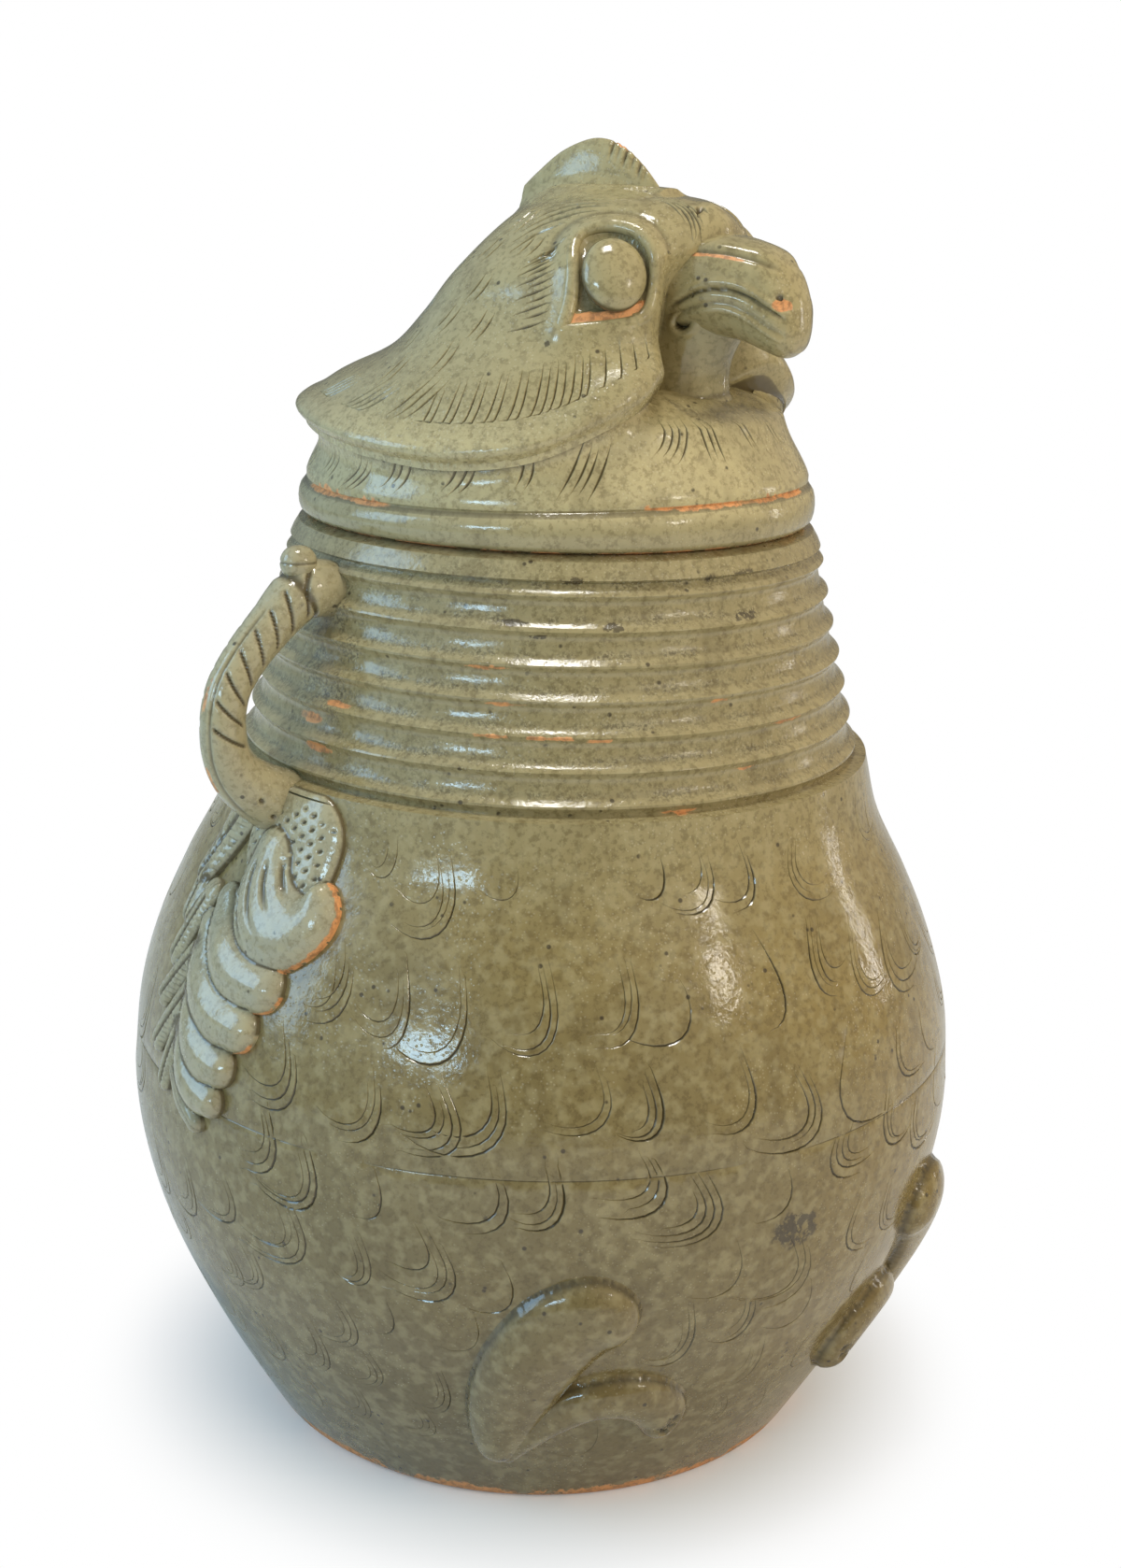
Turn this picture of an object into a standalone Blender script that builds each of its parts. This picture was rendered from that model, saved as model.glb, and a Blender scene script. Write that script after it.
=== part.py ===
"""A lidded stoneware storage jar in the form of a perched bird, with a head for a lid.

Metres, +Z up. The origin is the centre of the foot on the floor plane. The bird looks along -Y,
its right side is at -X and its left side at +X. The lid is turned a little on the jar, as it was
left standing, and lifts straight up.
"""
import math

import bmesh
import bpy
import numpy as np
from mathutils import Matrix, Vector

# Clearances. GAP is the play between pieces that touch, OVERRUN is how far a cutter goes past.
GAP = 0.0003
OVERRUN = 0.004

# The turned jar, from the foot up.
FOOT_RADIUS = 0.1068
FOOT_RING_WIDTH = 0.018
FOOT_RECESS = 0.004
FOOT_CHAMFER = 0.0015
FLOOR_THICKNESS = 0.010
BELLY_RADIUS = 0.1580
BELLY_Z = 0.137
SHOULDER_RADIUS = 0.1189
SHOULDER_Z = 0.262
JAR_WALL = 0.0078

# The mouth, the lip round it and the ribbed neck. Radii are taken over the ribs.
SHOULDER_STEP = 0.0029
NECK_TOP_WALL = 0.0153
NECK_HEIGHT = 0.075
RIB_COUNT = 7
RIB_DEPTH = 0.0027
RIB_WIDTH = 0.0074
RIB_CREST_SHARE = 0.36
LIP_HEIGHT = 0.0087
LIP_TOP_WIDTH = 0.005
MOUTH_RADIUS = 0.083
MOUTH_DEPTH = 0.016

# The lid, with heights above its seat on the lip.
LID_TURN_DEG = 15
LID_CLEARANCE = 0.0015
FLANGE_DEPTH = 0.014
FLANGE_THICKNESS = 0.006
RING_OVERHANG = 0.0115
RING_HEIGHT = 0.0100
RING_GROOVE = 0.0025
RING_PROUD = 0.0017
BAND_LEAN = 0.0116
BAND_HEIGHT = 0.0390
DOME_RISE = 0.0115
DOME_HOLE_RADIUS = 0.048
LID_WALL = 0.0075

# The hollow head that sits on the dome of the lid.
RUFF_OVERHANG = 0.0138
RUFF_Z = 0.0265
HEAD_HEIGHT = 0.0895
HEAD_WALL = 0.0090
HEAD_INNER_DROP = 0.012

# The comb on the crown.
CREST_LENGTH = 0.0605
CREST_RISE = 0.017
CREST_BACK = 0.0195
CREST_THICKNESS = 0.017
CREST_ROOT = 0.012

# The hooked beak and the throat under it.
BEAK_START_SHARE = 0.526
BEAK_REACH = 0.0495
BEAK_HEIGHT = 0.0395
BEAK_WIDTH = 0.0400
BEAK_BASE_Z = 0.0640
THROAT_RADIUS = 0.0170
THROAT_REACH_SHARE = 0.579
THROAT_LOW_Z = 0.0395
THROAT_TOP_Z = 0.0830

# Each eye and the raised lid round it.
EYE_AZIMUTH_DEG = 40.5
EYE_Z = 0.0890
EYE_WIDTH = 0.0235
EYE_HEIGHT = 0.0252
EYE_DEPTH = 0.0125
EYELID_THICKNESS = 0.0054
EYELID_WIDTH = 0.0350
EYELID_HEIGHT = 0.0350

# Each wing, a relief that hangs from the shoulder of the jar.
WING_AZIMUTH_DEG = 90
WING_WIDTH = 0.086
WING_HEIGHT = 0.122
WING_EDGE = 0.0030
WING_RELIEF = 0.0085

# Each folded leg, a relief low on the front of the jar.
RIGHT_LEG_AZIMUTH_DEG = 34.4
LEFT_LEG_AZIMUTH_DEG = 29
LEG_WIDTH = 0.075
LEG_HEIGHT = 0.090
LEG_LOW_Z = 0.032
LEG_EDGE = 0.0008
THIGH_HALF_WIDTH = 0.0170
THIGH_RELIEF = 0.0082
SHIN_HALF_WIDTH = 0.0095
SHIN_RELIEF = 0.0070

# Each carrying loop, from just under the neck's top down past its foot, and the bud on its top.
HANDLE_AZIMUTH_DEG = 92
HANDLE_RADIUS = 0.0082
HANDLE_REACH = 0.0235
HANDLE_TOP_DROP = 0.0155
HANDLE_LOW_DROP = 0.0060
BUD_RADIUS = 0.0064
BUD_RISE = 0.0060
BUD_OUT = 0.0090
BUD_LIFT = 0.0150

# How finely the round forms are drawn.
TURN_STEPS = 60
SMOOTH_DEG = 42

# Steepening of the shoulder from the widest belly up to the neck: height share, drop share.
SHOULDER_SHARES = ((0.0, 0.0), (0.22, 0.07), (0.42, 0.25), (0.62, 0.53), (0.82, 0.855), (1.0, 1.0))

# The head's outline at each azimuth from the beak round to the nape. Every row runs from the
# under edge of the ruff up to the crown, as shares of the ruff's radius and the head's height.
HEAD_SHARES = (
    (0, ((0.520, 0.207), (0.536, 0.229), (0.536, 0.307), (0.538, 0.397),
         (0.550, 0.508), (0.600, 0.654), (0.718, 0.821), (0.579, 0.966))),
    (20, ((0.575, 0.207), (0.595, 0.235), (0.585, 0.307), (0.590, 0.397),
          (0.608, 0.497), (0.642, 0.631), (0.710, 0.804), (0.547, 0.961))),
    (28, ((0.770, 0.300), (0.800, 0.345), (0.775, 0.405), (0.745, 0.460),
          (0.726, 0.531), (0.716, 0.654), (0.702, 0.804), (0.516, 0.955))),
    (35, ((0.846, 0.222), (0.876, 0.285), (0.845, 0.360), (0.797, 0.420),
          (0.758, 0.508), (0.721, 0.642), (0.682, 0.788), (0.474, 0.950))),
    (45, ((0.900, 0.142), (0.930, 0.210), (0.892, 0.295), (0.821, 0.384),
          (0.763, 0.486), (0.716, 0.620), (0.658, 0.771), (0.432, 0.939))),
    (60, ((0.938, 0.030), (0.968, 0.105), (0.932, 0.208), (0.842, 0.322),
          (0.758, 0.441), (0.695, 0.581), (0.611, 0.737), (0.358, 0.922))),
    (75, ((0.954, -0.014), (0.984, 0.062), (0.937, 0.184), (0.842, 0.300),
          (0.747, 0.419), (0.658, 0.553), (0.558, 0.715), (0.316, 0.905))),
    (100, ((0.965, 0.000), (0.995, 0.072), (0.944, 0.178), (0.832, 0.278),
           (0.716, 0.397), (0.611, 0.536), (0.495, 0.693), (0.263, 0.888))),
    (130, ((0.970, 0.056), (1.000, 0.128), (0.937, 0.214), (0.800, 0.287),
           (0.647, 0.380), (0.532, 0.514), (0.411, 0.676), (0.200, 0.883))),
    (180, ((0.970, 0.084), (1.000, 0.155), (0.945, 0.217), (0.800, 0.286),
           (0.637, 0.374), (0.516, 0.508), (0.389, 0.676), (0.179, 0.888))),
)
HEAD_AZIMUTHS_DEG = (0, 7, 14, 19, 22, 25, 28, 32, 37, 43, 51, 60, 70, 82, 96, 112, 130, 148, 165, 180)
HEAD_STEPS_PER_STATION = (1, 1, 1, 2, 2, 2, 2, 2)
RUFF_STATIONS = 4

# The comb's side view: share of its length, share of its rise above the crown, share of thickness.
CREST_SHARES = ((0.03, 0.03, 0.35), (0.12, 0.29, 0.62), (0.28, 0.70, 0.86), (0.45, 0.95, 1.00),
                (0.58, 1.00, 0.98), (0.72, 0.86, 0.86), (0.86, 0.50, 0.66), (0.97, 0.10, 0.38))

# Slices through the beak: share of its reach, centre height, half height and half width shares.
BEAK_SHARES = ((0.00, 0.56, 0.42, 0.48), (0.22, 0.55, 0.43, 0.50), (0.42, 0.535, 0.435, 0.49),
               (0.60, 0.50, 0.43, 0.43), (0.76, 0.43, 0.43, 0.37), (0.88, 0.34, 0.38, 0.31),
               (0.96, 0.27, 0.26, 0.23))
BEAK_TIP_SHARE = 0.26
BEAK_SQUARENESS = 0.8

# The rim of the eye: azimuth and height offsets as shares of its width and height.
EYELID_SHARES = ((0.52, -0.46), (0.46, -0.12), (0.38, 0.24), (0.16, 0.47), (-0.14, 0.46),
                 (-0.36, 0.22), (-0.44, -0.08), (-0.36, -0.40), (-0.04, -0.48), (0.28, -0.50))

# The wing's lobes: places along each lobe with the half width there, all as shares of the
# wing's width and height, and then the lobe's relief as a share of the whole.
WING_SHARES = (
    (((0.02, 0.820, 0.165), (0.13, 0.860, 0.195), (0.23, 0.870, 0.170), (0.27, 0.790, 0.130)), 0.62),
    (((0.130, 0.800, 0.110), (0.160, 0.715, 0.120), (0.205, 0.655, 0.122), (0.300, 0.612, 0.115),
      (0.400, 0.622, 0.105), (0.462, 0.682, 0.088), (0.425, 0.727, 0.055)), 1.00),
    (((-0.119, 0.620, 0.040), (0.029, 0.518, 0.080), (0.220, 0.480, 0.105), (0.290, 0.476, 0.095)), 0.92),
    (((-0.174, 0.543, 0.040), (-0.006, 0.418, 0.085), (0.160, 0.362, 0.105), (0.225, 0.354, 0.095)), 0.92),
    (((-0.129, 0.392, 0.035), (-0.028, 0.292, 0.080), (0.100, 0.240, 0.098), (0.160, 0.233, 0.085)), 0.88),
    (((-0.137, 0.252, 0.035), (-0.031, 0.173, 0.070), (0.080, 0.135, 0.085), (0.130, 0.129, 0.075)), 0.80),
    (((-0.128, 0.148, 0.030), (-0.058, 0.082, 0.050), (0.035, 0.041, 0.045)), 0.55),
    (((-0.140, 0.951, 0.090), (-0.279, 0.820, 0.100), (-0.384, 0.672, 0.070)), 0.55),
    (((-0.350, 0.764, 0.055), (-0.395, 0.560, 0.060)), 0.45),
    (((-0.256, 0.632, 0.060), (-0.373, 0.445, 0.062)), 0.48),
    (((-0.171, 0.503, 0.060), (-0.370, 0.325, 0.060)), 0.48),
    (((-0.157, 0.385, 0.060), (-0.340, 0.200, 0.058)), 0.45),
    (((-0.161, 0.275, 0.055), (-0.250, 0.100, 0.052)), 0.42),
)
WING_CENTRE_SHARES = (0.02, 0.50)
WING_TURNS = 96
WING_RING_SHARES = (0.12, 0.24, 0.36, 0.47, 0.57, 0.66, 0.74, 0.82, 0.89, 0.95, 0.985)
WING_UNDER_SHARES = (0.72, 0.38)

# The limbs' centre lines from the heel: shares of the leg's width and height, then of the
# limb's half width.
THIGH_SHARES = ((0.310, 0.090, 0.52), (0.300, 0.200, 0.72), (0.272, 0.370, 0.88),
                (0.198, 0.550, 0.97), (0.085, 0.695, 0.98), (-0.030, 0.765, 0.88), (-0.100, 0.765, 0.74))
SHIN_SHARES = ((0.265, 0.050, 0.50), (0.190, 0.160, 0.78), (0.070, 0.262, 0.84), (-0.064, 0.330, 0.84),
               (-0.205, 0.345, 0.92), (-0.330, 0.310, 1.06), (-0.412, 0.240, 1.10), (-0.418, 0.175, 0.78))
LIMB_RINGS = 16
LIMB_ARC_STEPS = 8

# The carrying loop's centre line, from the neck down to the wing: share of its reach beyond the
# neck, share of its height, share of its radius.
HANDLE_SHARES = ((-0.30, 1.05, 1.05), (-0.12, 1.07, 1.18), (0.08, 1.085, 1.24), (0.24, 1.06, 1.18),
                 (0.46, 0.945, 1.02), (0.76, 0.765, 0.94), (0.95, 0.59, 0.93), (1.00, 0.39, 0.97),
                 (0.93, 0.20, 1.06), (0.70, 0.05, 1.28), (0.38, -0.06, 1.50))
HANDLE_POINTS = 18

GLAZE = (0.262, 0.245, 0.142)
GLAZE_DARK = (0.205, 0.192, 0.108)
GLAZE_PALE = (0.330, 0.315, 0.200)
GLAZE_ROUGHNESS = 0.22


def clear_scene():
    """Start from an empty file."""
    for item in list(bpy.data.objects):
        bpy.data.objects.remove(item, do_unlink=True)


def collection(name):
    """A collection of the scene, made on first use."""
    found = bpy.data.collections.get(name)
    if found is None:
        found = bpy.data.collections.new(name)
        bpy.context.scene.collection.children.link(found)
    return found


def material(name, color, roughness):
    """A plain glazed or bare clay surface."""
    mat = bpy.data.materials.new(name)
    mat.use_nodes = True
    shader = mat.node_tree.nodes["Principled BSDF"]
    shader.inputs["Base Color"].default_value = (color[0], color[1], color[2], 1.0)
    shader.inputs["Roughness"].default_value = roughness
    shader.inputs["Metallic"].default_value = 0.0
    mat.diffuse_color = (color[0], color[1], color[2], 1.0)
    return mat


def smooth(knots, values, at):
    """A smooth curve through the values at the knots, read at the given places."""
    knots = np.asarray(knots, float)
    values = np.asarray(values, float)
    slopes = np.gradient(values, knots)
    at = np.clip(np.asarray(at, float), knots[0], knots[-1])
    cell = np.clip(np.searchsorted(knots, at, side="right") - 1, 0, len(knots) - 2)
    width = knots[cell + 1] - knots[cell]
    t = (at - knots[cell]) / width
    start = (2 * t ** 3 - 3 * t ** 2 + 1) * values[cell]
    end = (3 * t ** 2 - 2 * t ** 3) * values[cell + 1]
    leave = (t ** 3 - 2 * t ** 2 + t) * width * slopes[cell]
    arrive = (t ** 3 - t ** 2) * width * slopes[cell + 1]
    return start + end + leave + arrive


def body_radius(z):
    """Radius of the jar's belly and shoulder at a height."""
    z = np.asarray(z, float)
    swell = np.sin(np.clip(z / BELLY_Z, 0, 1) * math.pi / 2)
    low = FOOT_RADIUS + (BELLY_RADIUS - FOOT_RADIUS) * swell
    rise = np.clip((z - BELLY_Z) / (SHOULDER_Z - BELLY_Z), 0, 1)
    heights, drops = zip(*SHOULDER_SHARES)
    high = BELLY_RADIUS - (BELLY_RADIUS - SHOULDER_RADIUS) * smooth(heights, drops, rise)
    return np.where(z < BELLY_Z, low, high)


NECK_BASE_Z = SHOULDER_Z
NECK_TOP_Z = NECK_BASE_Z + NECK_HEIGHT
RIB_PITCH = (NECK_HEIGHT - RIB_WIDTH) / (RIB_COUNT - 1)
LIP_Z = NECK_TOP_Z + LIP_HEIGHT
SEAT_Z = LIP_Z + GAP
LIP_RADIUS = MOUTH_RADIUS + LID_CLEARANCE / 2 + LIP_TOP_WIDTH
NECK_BASE_RADIUS = SHOULDER_RADIUS - SHOULDER_STEP
NECK_TOP_RADIUS = MOUTH_RADIUS + NECK_TOP_WALL
RING_RADIUS = MOUTH_RADIUS + RING_OVERHANG
BAND_BASE_RADIUS = RING_RADIUS - RING_PROUD
BAND_TOP_RADIUS = BAND_BASE_RADIUS - BAND_LEAN
WING_LOW_Z = SHOULDER_Z - WING_HEIGHT
HANDLE_TOP_Z = NECK_TOP_Z - HANDLE_TOP_DROP
HANDLE_LOW_Z = NECK_BASE_Z - HANDLE_LOW_DROP
RUFF_RADIUS = BAND_TOP_RADIUS + RUFF_OVERHANG
BEAK_START = RUFF_RADIUS * BEAK_START_SHARE
THROAT_REACH = RUFF_RADIUS * THROAT_REACH_SHARE


def neck_radius(z):
    """Radius over the neck's ribs at a height."""
    share = (z - NECK_BASE_Z) / NECK_HEIGHT
    return NECK_BASE_RADIUS + (NECK_TOP_RADIUS - NECK_BASE_RADIUS) * share


def jar_outer():
    """The jar's outer outline from the lip's outer edge down to the foot, as (radius, height)."""
    points = [(LIP_RADIUS, LIP_Z)]
    points.append((LIP_RADIUS + (NECK_TOP_RADIUS - LIP_RADIUS) * 0.62, LIP_Z - LIP_HEIGHT * 0.22))
    for rib in range(RIB_COUNT):
        middle = NECK_TOP_Z - RIB_WIDTH / 2 - rib * RIB_PITCH
        half = RIB_WIDTH / 2
        crest = half * RIB_CREST_SHARE
        if rib > 0:
            points.append((neck_radius(middle + half) - RIB_DEPTH, middle + half))
        points.append((neck_radius(middle + crest), middle + crest))
        points.append((neck_radius(middle - crest), middle - crest))
        points.append((neck_radius(middle - half) - RIB_DEPTH, middle - half))
    heights = (1.0, 0.94, 0.83, 0.70, 0.55, 0.38, 0.20)
    for share in heights:
        z = BELLY_Z + (SHOULDER_Z - BELLY_Z) * share - GAP
        points.append((float(body_radius(z)), z))
    for share in (1.0, 0.80, 0.62, 0.45, 0.29, 0.14):
        z = BELLY_Z * share
        points.append((float(body_radius(z)), z))
    points.append((FOOT_RADIUS, FOOT_CHAMFER))
    points.append((FOOT_RADIUS - FOOT_CHAMFER, 0))
    return points


def jar_profile():
    """The whole outline of the jar, from the floor inside up over the lip and down to the foot."""
    inside = [(0, FLOOR_THICKNESS)]
    inside.append((FOOT_RADIUS - JAR_WALL - FLOOR_THICKNESS, FLOOR_THICKNESS))
    for share in (0.16, 0.34, 0.56, 0.80, 1.0):
        z = BELLY_Z * share
        inside.append((float(body_radius(z)) - JAR_WALL, z))
    for share in (0.24, 0.48, 0.70, 0.88, 1.0):
        z = BELLY_Z + (SHOULDER_Z - BELLY_Z) * share
        inside.append((float(body_radius(z)) - JAR_WALL, z))
    throat_z = LIP_Z - MOUTH_DEPTH
    for share in (0.35, 0.80):
        z = NECK_BASE_Z + (throat_z - NECK_BASE_Z) * share
        inside.append((neck_radius(z) - RIB_DEPTH - JAR_WALL, z))
    inside.append((MOUTH_RADIUS, throat_z))
    inside.append((MOUTH_RADIUS, LIP_Z - LID_CLEARANCE / 2))
    inside.append((MOUTH_RADIUS + LID_CLEARANCE / 2, LIP_Z))
    under = [(FOOT_RADIUS - FOOT_RING_WIDTH, 0)]
    under.append((FOOT_RADIUS - FOOT_RING_WIDTH - FOOT_RECESS, FOOT_RECESS))
    under.append((0, FOOT_RECESS))
    return inside + jar_outer() + under


def collar_outer(grow=0.0):
    """The lid collar's outline from the hole in its dome down to its lower edge."""
    groove_z = RING_HEIGHT + RING_GROOVE / 2
    band_z = RING_HEIGHT + RING_GROOVE * 1.6
    points = []
    for share in (0.0, 0.36, 0.66, 0.88):
        radius = DOME_HOLE_RADIUS + (BAND_TOP_RADIUS - DOME_HOLE_RADIUS) * share
        points.append((radius, BAND_HEIGHT + DOME_RISE * (1 - share ** 2.4) + grow))
    for share in (1.0, 0.66, 0.33, 0.0):
        radius = BAND_BASE_RADIUS + (BAND_TOP_RADIUS - BAND_BASE_RADIUS) * share ** 0.9
        points.append((radius + grow, band_z + (BAND_HEIGHT - band_z) * share))
    points.append((RING_RADIUS - RING_GROOVE + grow, groove_z))
    points.append((RING_RADIUS + grow, RING_HEIGHT * 0.72))
    points.append((RING_RADIUS + grow, RING_HEIGHT * 0.36))
    points.append((RING_RADIUS - RING_GROOVE + grow, 0))
    return points


FLANGE_RADIUS = MOUTH_RADIUS - LID_CLEARANCE


def collar_profile():
    """The closed section of the lid's collar: dome, band, ring, flange and the hollow inside."""
    points = collar_outer()
    points.append((FLANGE_RADIUS, 0))
    points.append((FLANGE_RADIUS, LID_CLEARANCE - FLANGE_DEPTH))
    points.append((FLANGE_RADIUS - LID_CLEARANCE, -FLANGE_DEPTH))
    points.append((FLANGE_RADIUS - FLANGE_THICKNESS, -FLANGE_DEPTH))
    points.append((FLANGE_RADIUS - FLANGE_THICKNESS, RING_HEIGHT))
    points.append((BAND_TOP_RADIUS - LID_WALL, BAND_HEIGHT - LID_WALL))
    points.append((DOME_HOLE_RADIUS + LID_WALL, BAND_HEIGHT + DOME_RISE * 0.75 - LID_WALL))
    points.append((DOME_HOLE_RADIUS, BAND_HEIGHT + DOME_RISE - LID_WALL))
    return points


def link(name, mesh, mat, group="lidded_bird_jar"):
    """Put a mesh in the scene as a named object with its own material."""
    mesh.materials.clear()
    if mat is not None:
        mesh.materials.append(mat)
    item = bpy.data.objects.new(name, mesh)
    collection(group).objects.link(item)
    return item


def shade(mesh):
    """Smooth shading that keeps real edges sharp."""
    mesh.shade_smooth()
    mesh.set_sharp_from_angle(angle=math.radians(SMOOTH_DEG))


def turned(name, profile, closed, mat, group="lidded_bird_jar"):
    """A form turned on the wheel: an outline swept round the upright axis."""
    mesh = bpy.data.meshes.new(name)
    edges = [(i, i + 1) for i in range(len(profile) - 1)]
    if closed:
        edges.append((len(profile) - 1, 0))
    mesh.from_pydata([(radius, 0, z) for radius, z in profile], edges, [])
    item = link(name, mesh, mat, group)
    screw = item.modifiers.new("turn", "SCREW")
    screw.axis = "Z"
    screw.angle = 2 * math.pi
    screw.steps = TURN_STEPS
    screw.render_steps = TURN_STEPS
    screw.use_merge_vertices = True
    screw.merge_threshold = GAP / 6
    screw.use_smooth_shade = True
    return item


def loft(name, first, rings, last, mat, group="lidded_bird_jar", swell=0.0):
    """A closed skin over unlike rings of points, brought to a single point at each end."""
    form = bmesh.new()
    start = form.verts.new(first)
    rows = [[form.verts.new(point) for point in ring] for ring in rings]
    end = form.verts.new(last)
    count = len(rows[0])
    for i in range(count):
        j = (i + 1) % count
        form.faces.new((start, rows[0][j], rows[0][i]))
        for upper, lower in zip(rows, rows[1:]):
            form.faces.new((upper[i], upper[j], lower[j]))
            form.faces.new((upper[i], lower[j], lower[i]))
        form.faces.new((end, rows[-1][i], rows[-1][j]))
    bmesh.ops.recalc_face_normals(form, faces=form.faces)
    form.normal_update()
    for vert in form.verts:
        vert.co += vert.normal * swell
    mesh = bpy.data.meshes.new(name)
    form.to_mesh(mesh)
    form.free()
    shade(mesh)
    return link(name, mesh, mat, group)


def tube(name, points, radii, cyclic, mat, group="lidded_bird_jar"):
    """A round rod along a smooth line, with its own radius at each point."""
    curve = bpy.data.curves.new(name, "CURVE")
    curve.dimensions = "3D"
    curve.bevel_depth = max(radii)
    curve.bevel_resolution = 3
    curve.use_fill_caps = True
    spline = curve.splines.new("POLY")
    spline.points.add(len(points) - 1)
    spline.use_cyclic_u = cyclic
    for place, point, radius in zip(spline.points, points, radii):
        place.co = (point[0], point[1], point[2], 1.0)
        place.radius = radius / max(radii)
    rod = bpy.data.objects.new(name + "_line", curve)
    collection("guides").objects.link(rod)
    view = bpy.context.evaluated_depsgraph_get()
    mesh = bpy.data.meshes.new_from_object(rod.evaluated_get(view))
    weld = bmesh.new()
    weld.from_mesh(mesh)
    bmesh.ops.remove_doubles(weld, verts=weld.verts, dist=GAP / 6)
    bmesh.ops.recalc_face_normals(weld, faces=weld.faces)
    weld.to_mesh(mesh)
    weld.free()
    shade(mesh)
    item = link(name, mesh, mat, group)
    item.matrix_world = rod.matrix_world
    bpy.data.objects.remove(rod, do_unlink=True)
    bpy.data.curves.remove(curve)
    return item


def as_cutter(item):
    """Mark a helper form, which only shapes its neighbours."""
    item.hide_render = True
    item.display_type = "WIRE"
    return item


def cut(item, *cutters):
    """Take each helper form away from a piece."""
    for cutter in cutters:
        step = item.modifiers.new("seat on " + cutter.name, "BOOLEAN")
        step.operation = "DIFFERENCE"
        step.solver = "EXACT"
        step.object = cutter


def on_body(side, azimuth_deg, u, z, height):
    """A point above the belly: u runs along the surface away from the bird's front."""
    radius = float(body_radius(z))
    step = GAP
    slope = float(body_radius(z + step) - body_radius(z - step)) / (2 * step)
    scale = 1 / math.hypot(1, slope)
    azimuth = side * (math.radians(azimuth_deg) + u / radius)
    out = radius + height * scale
    return (out * math.sin(azimuth), -out * math.cos(azimuth), z - height * slope * scale)


def chain(points, count):
    """A smooth line through rows of numbers, read at evenly spaced places."""
    knots = np.linspace(0, 1, len(points))
    at = np.linspace(0, 1, count)
    return np.stack([smooth(knots, column, at) for column in zip(*points)], axis=1)


def limb(name, side, shares, half_width, relief, mat, grow=0.0):
    """A rounded limb laid along the belly, from the heel to its far end."""
    azimuth_deg = RIGHT_LEG_AZIMUTH_DEG if side < 0 else LEFT_LEG_AZIMUTH_DEG
    rows = chain(shares, LIMB_RINGS)
    line = np.stack([rows[:, 0] * LEG_WIDTH, LEG_LOW_Z + rows[:, 1] * LEG_HEIGHT], axis=1)
    widths = rows[:, 2] * half_width
    run = np.gradient(line, axis=0)
    run /= np.linalg.norm(run, axis=1)[:, None]
    across = np.stack([-run[:, 1], run[:, 0]], axis=1)
    turns = np.linspace(0, math.pi / 2, 4)[1:]
    places = []
    for angle in reversed(turns[:-1]):
        offset = line[0] - run[0] * widths[0] * math.sin(angle)
        places.append((offset, across[0], widths[0] * math.cos(angle), math.cos(angle) * rows[0, 2]))
    for spot, side_way, width, share in zip(line, across, widths, rows[:, 2]):
        places.append((spot, side_way, width, share))
    for angle in turns[:-1]:
        offset = line[-1] + run[-1] * widths[-1] * math.sin(angle)
        places.append((offset, across[-1], widths[-1] * math.cos(angle), math.cos(angle) * rows[-1, 2]))
    floor = -OVERRUN
    rings = []
    for spot, side_way, width, share in places:
        ring = []
        for angle in np.linspace(0, math.pi, LIMB_ARC_STEPS + 1):
            u, z = spot + side_way * (width + grow) * math.cos(angle)
            height = LEG_EDGE + relief * min(1.0, share) ** 0.7 * math.sin(angle)
            ring.append(on_body(side, azimuth_deg, u, z, height + grow))
        for share_across in np.linspace(-1, 1, 5):
            u, z = spot + side_way * (width + grow) * share_across
            ring.append(on_body(side, azimuth_deg, u, z, floor))
        rings.append(ring)
    first_spot = line[0] - run[0] * (widths[0] + grow)
    last_spot = line[-1] + run[-1] * (widths[-1] + grow)
    middle = (LEG_EDGE + floor) / 2
    first = on_body(side, azimuth_deg, first_spot[0], first_spot[1], middle)
    last = on_body(side, azimuth_deg, last_spot[0], last_spot[1], middle)
    group = "lidded_bird_jar" if grow == 0 else "cutters"
    return loft(name, first, rings, last, mat, group)


def wing_lobes():
    """The wing's lobes as lines of (u, z, half width) with their relief."""
    lobes = []
    for rows, relief in WING_SHARES:
        line = chain(rows, 4 * len(rows))
        line = line * (WING_WIDTH, WING_HEIGHT, WING_WIDTH) + (0, WING_LOW_Z, 0)
        lobes.append((line, relief * WING_RELIEF))
    return lobes


def wing_height(lobes, u, z):
    """Height of the wing's relief over the belly, below zero outside its outline."""
    best = -1.0
    for line, relief in lobes:
        start = line[:-1]
        step = line[1:, :2] - start[:, :2]
        length = np.maximum((step ** 2).sum(axis=1), GAP ** 2)
        t = np.clip(((u - start[:, 0]) * step[:, 0] + (z - start[:, 1]) * step[:, 1]) / length, 0, 1)
        width = start[:, 2] + (line[1:, 2] - start[:, 2]) * t
        apart = np.hypot(u - start[:, 0] - step[:, 0] * t, z - start[:, 1] - step[:, 1] * t)
        share = 1 - (apart / width) ** 2
        inside = float(share.max())
        if inside > 0:
            best = max(best, WING_EDGE + (relief - WING_EDGE) * math.sqrt(inside))
    return best


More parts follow.
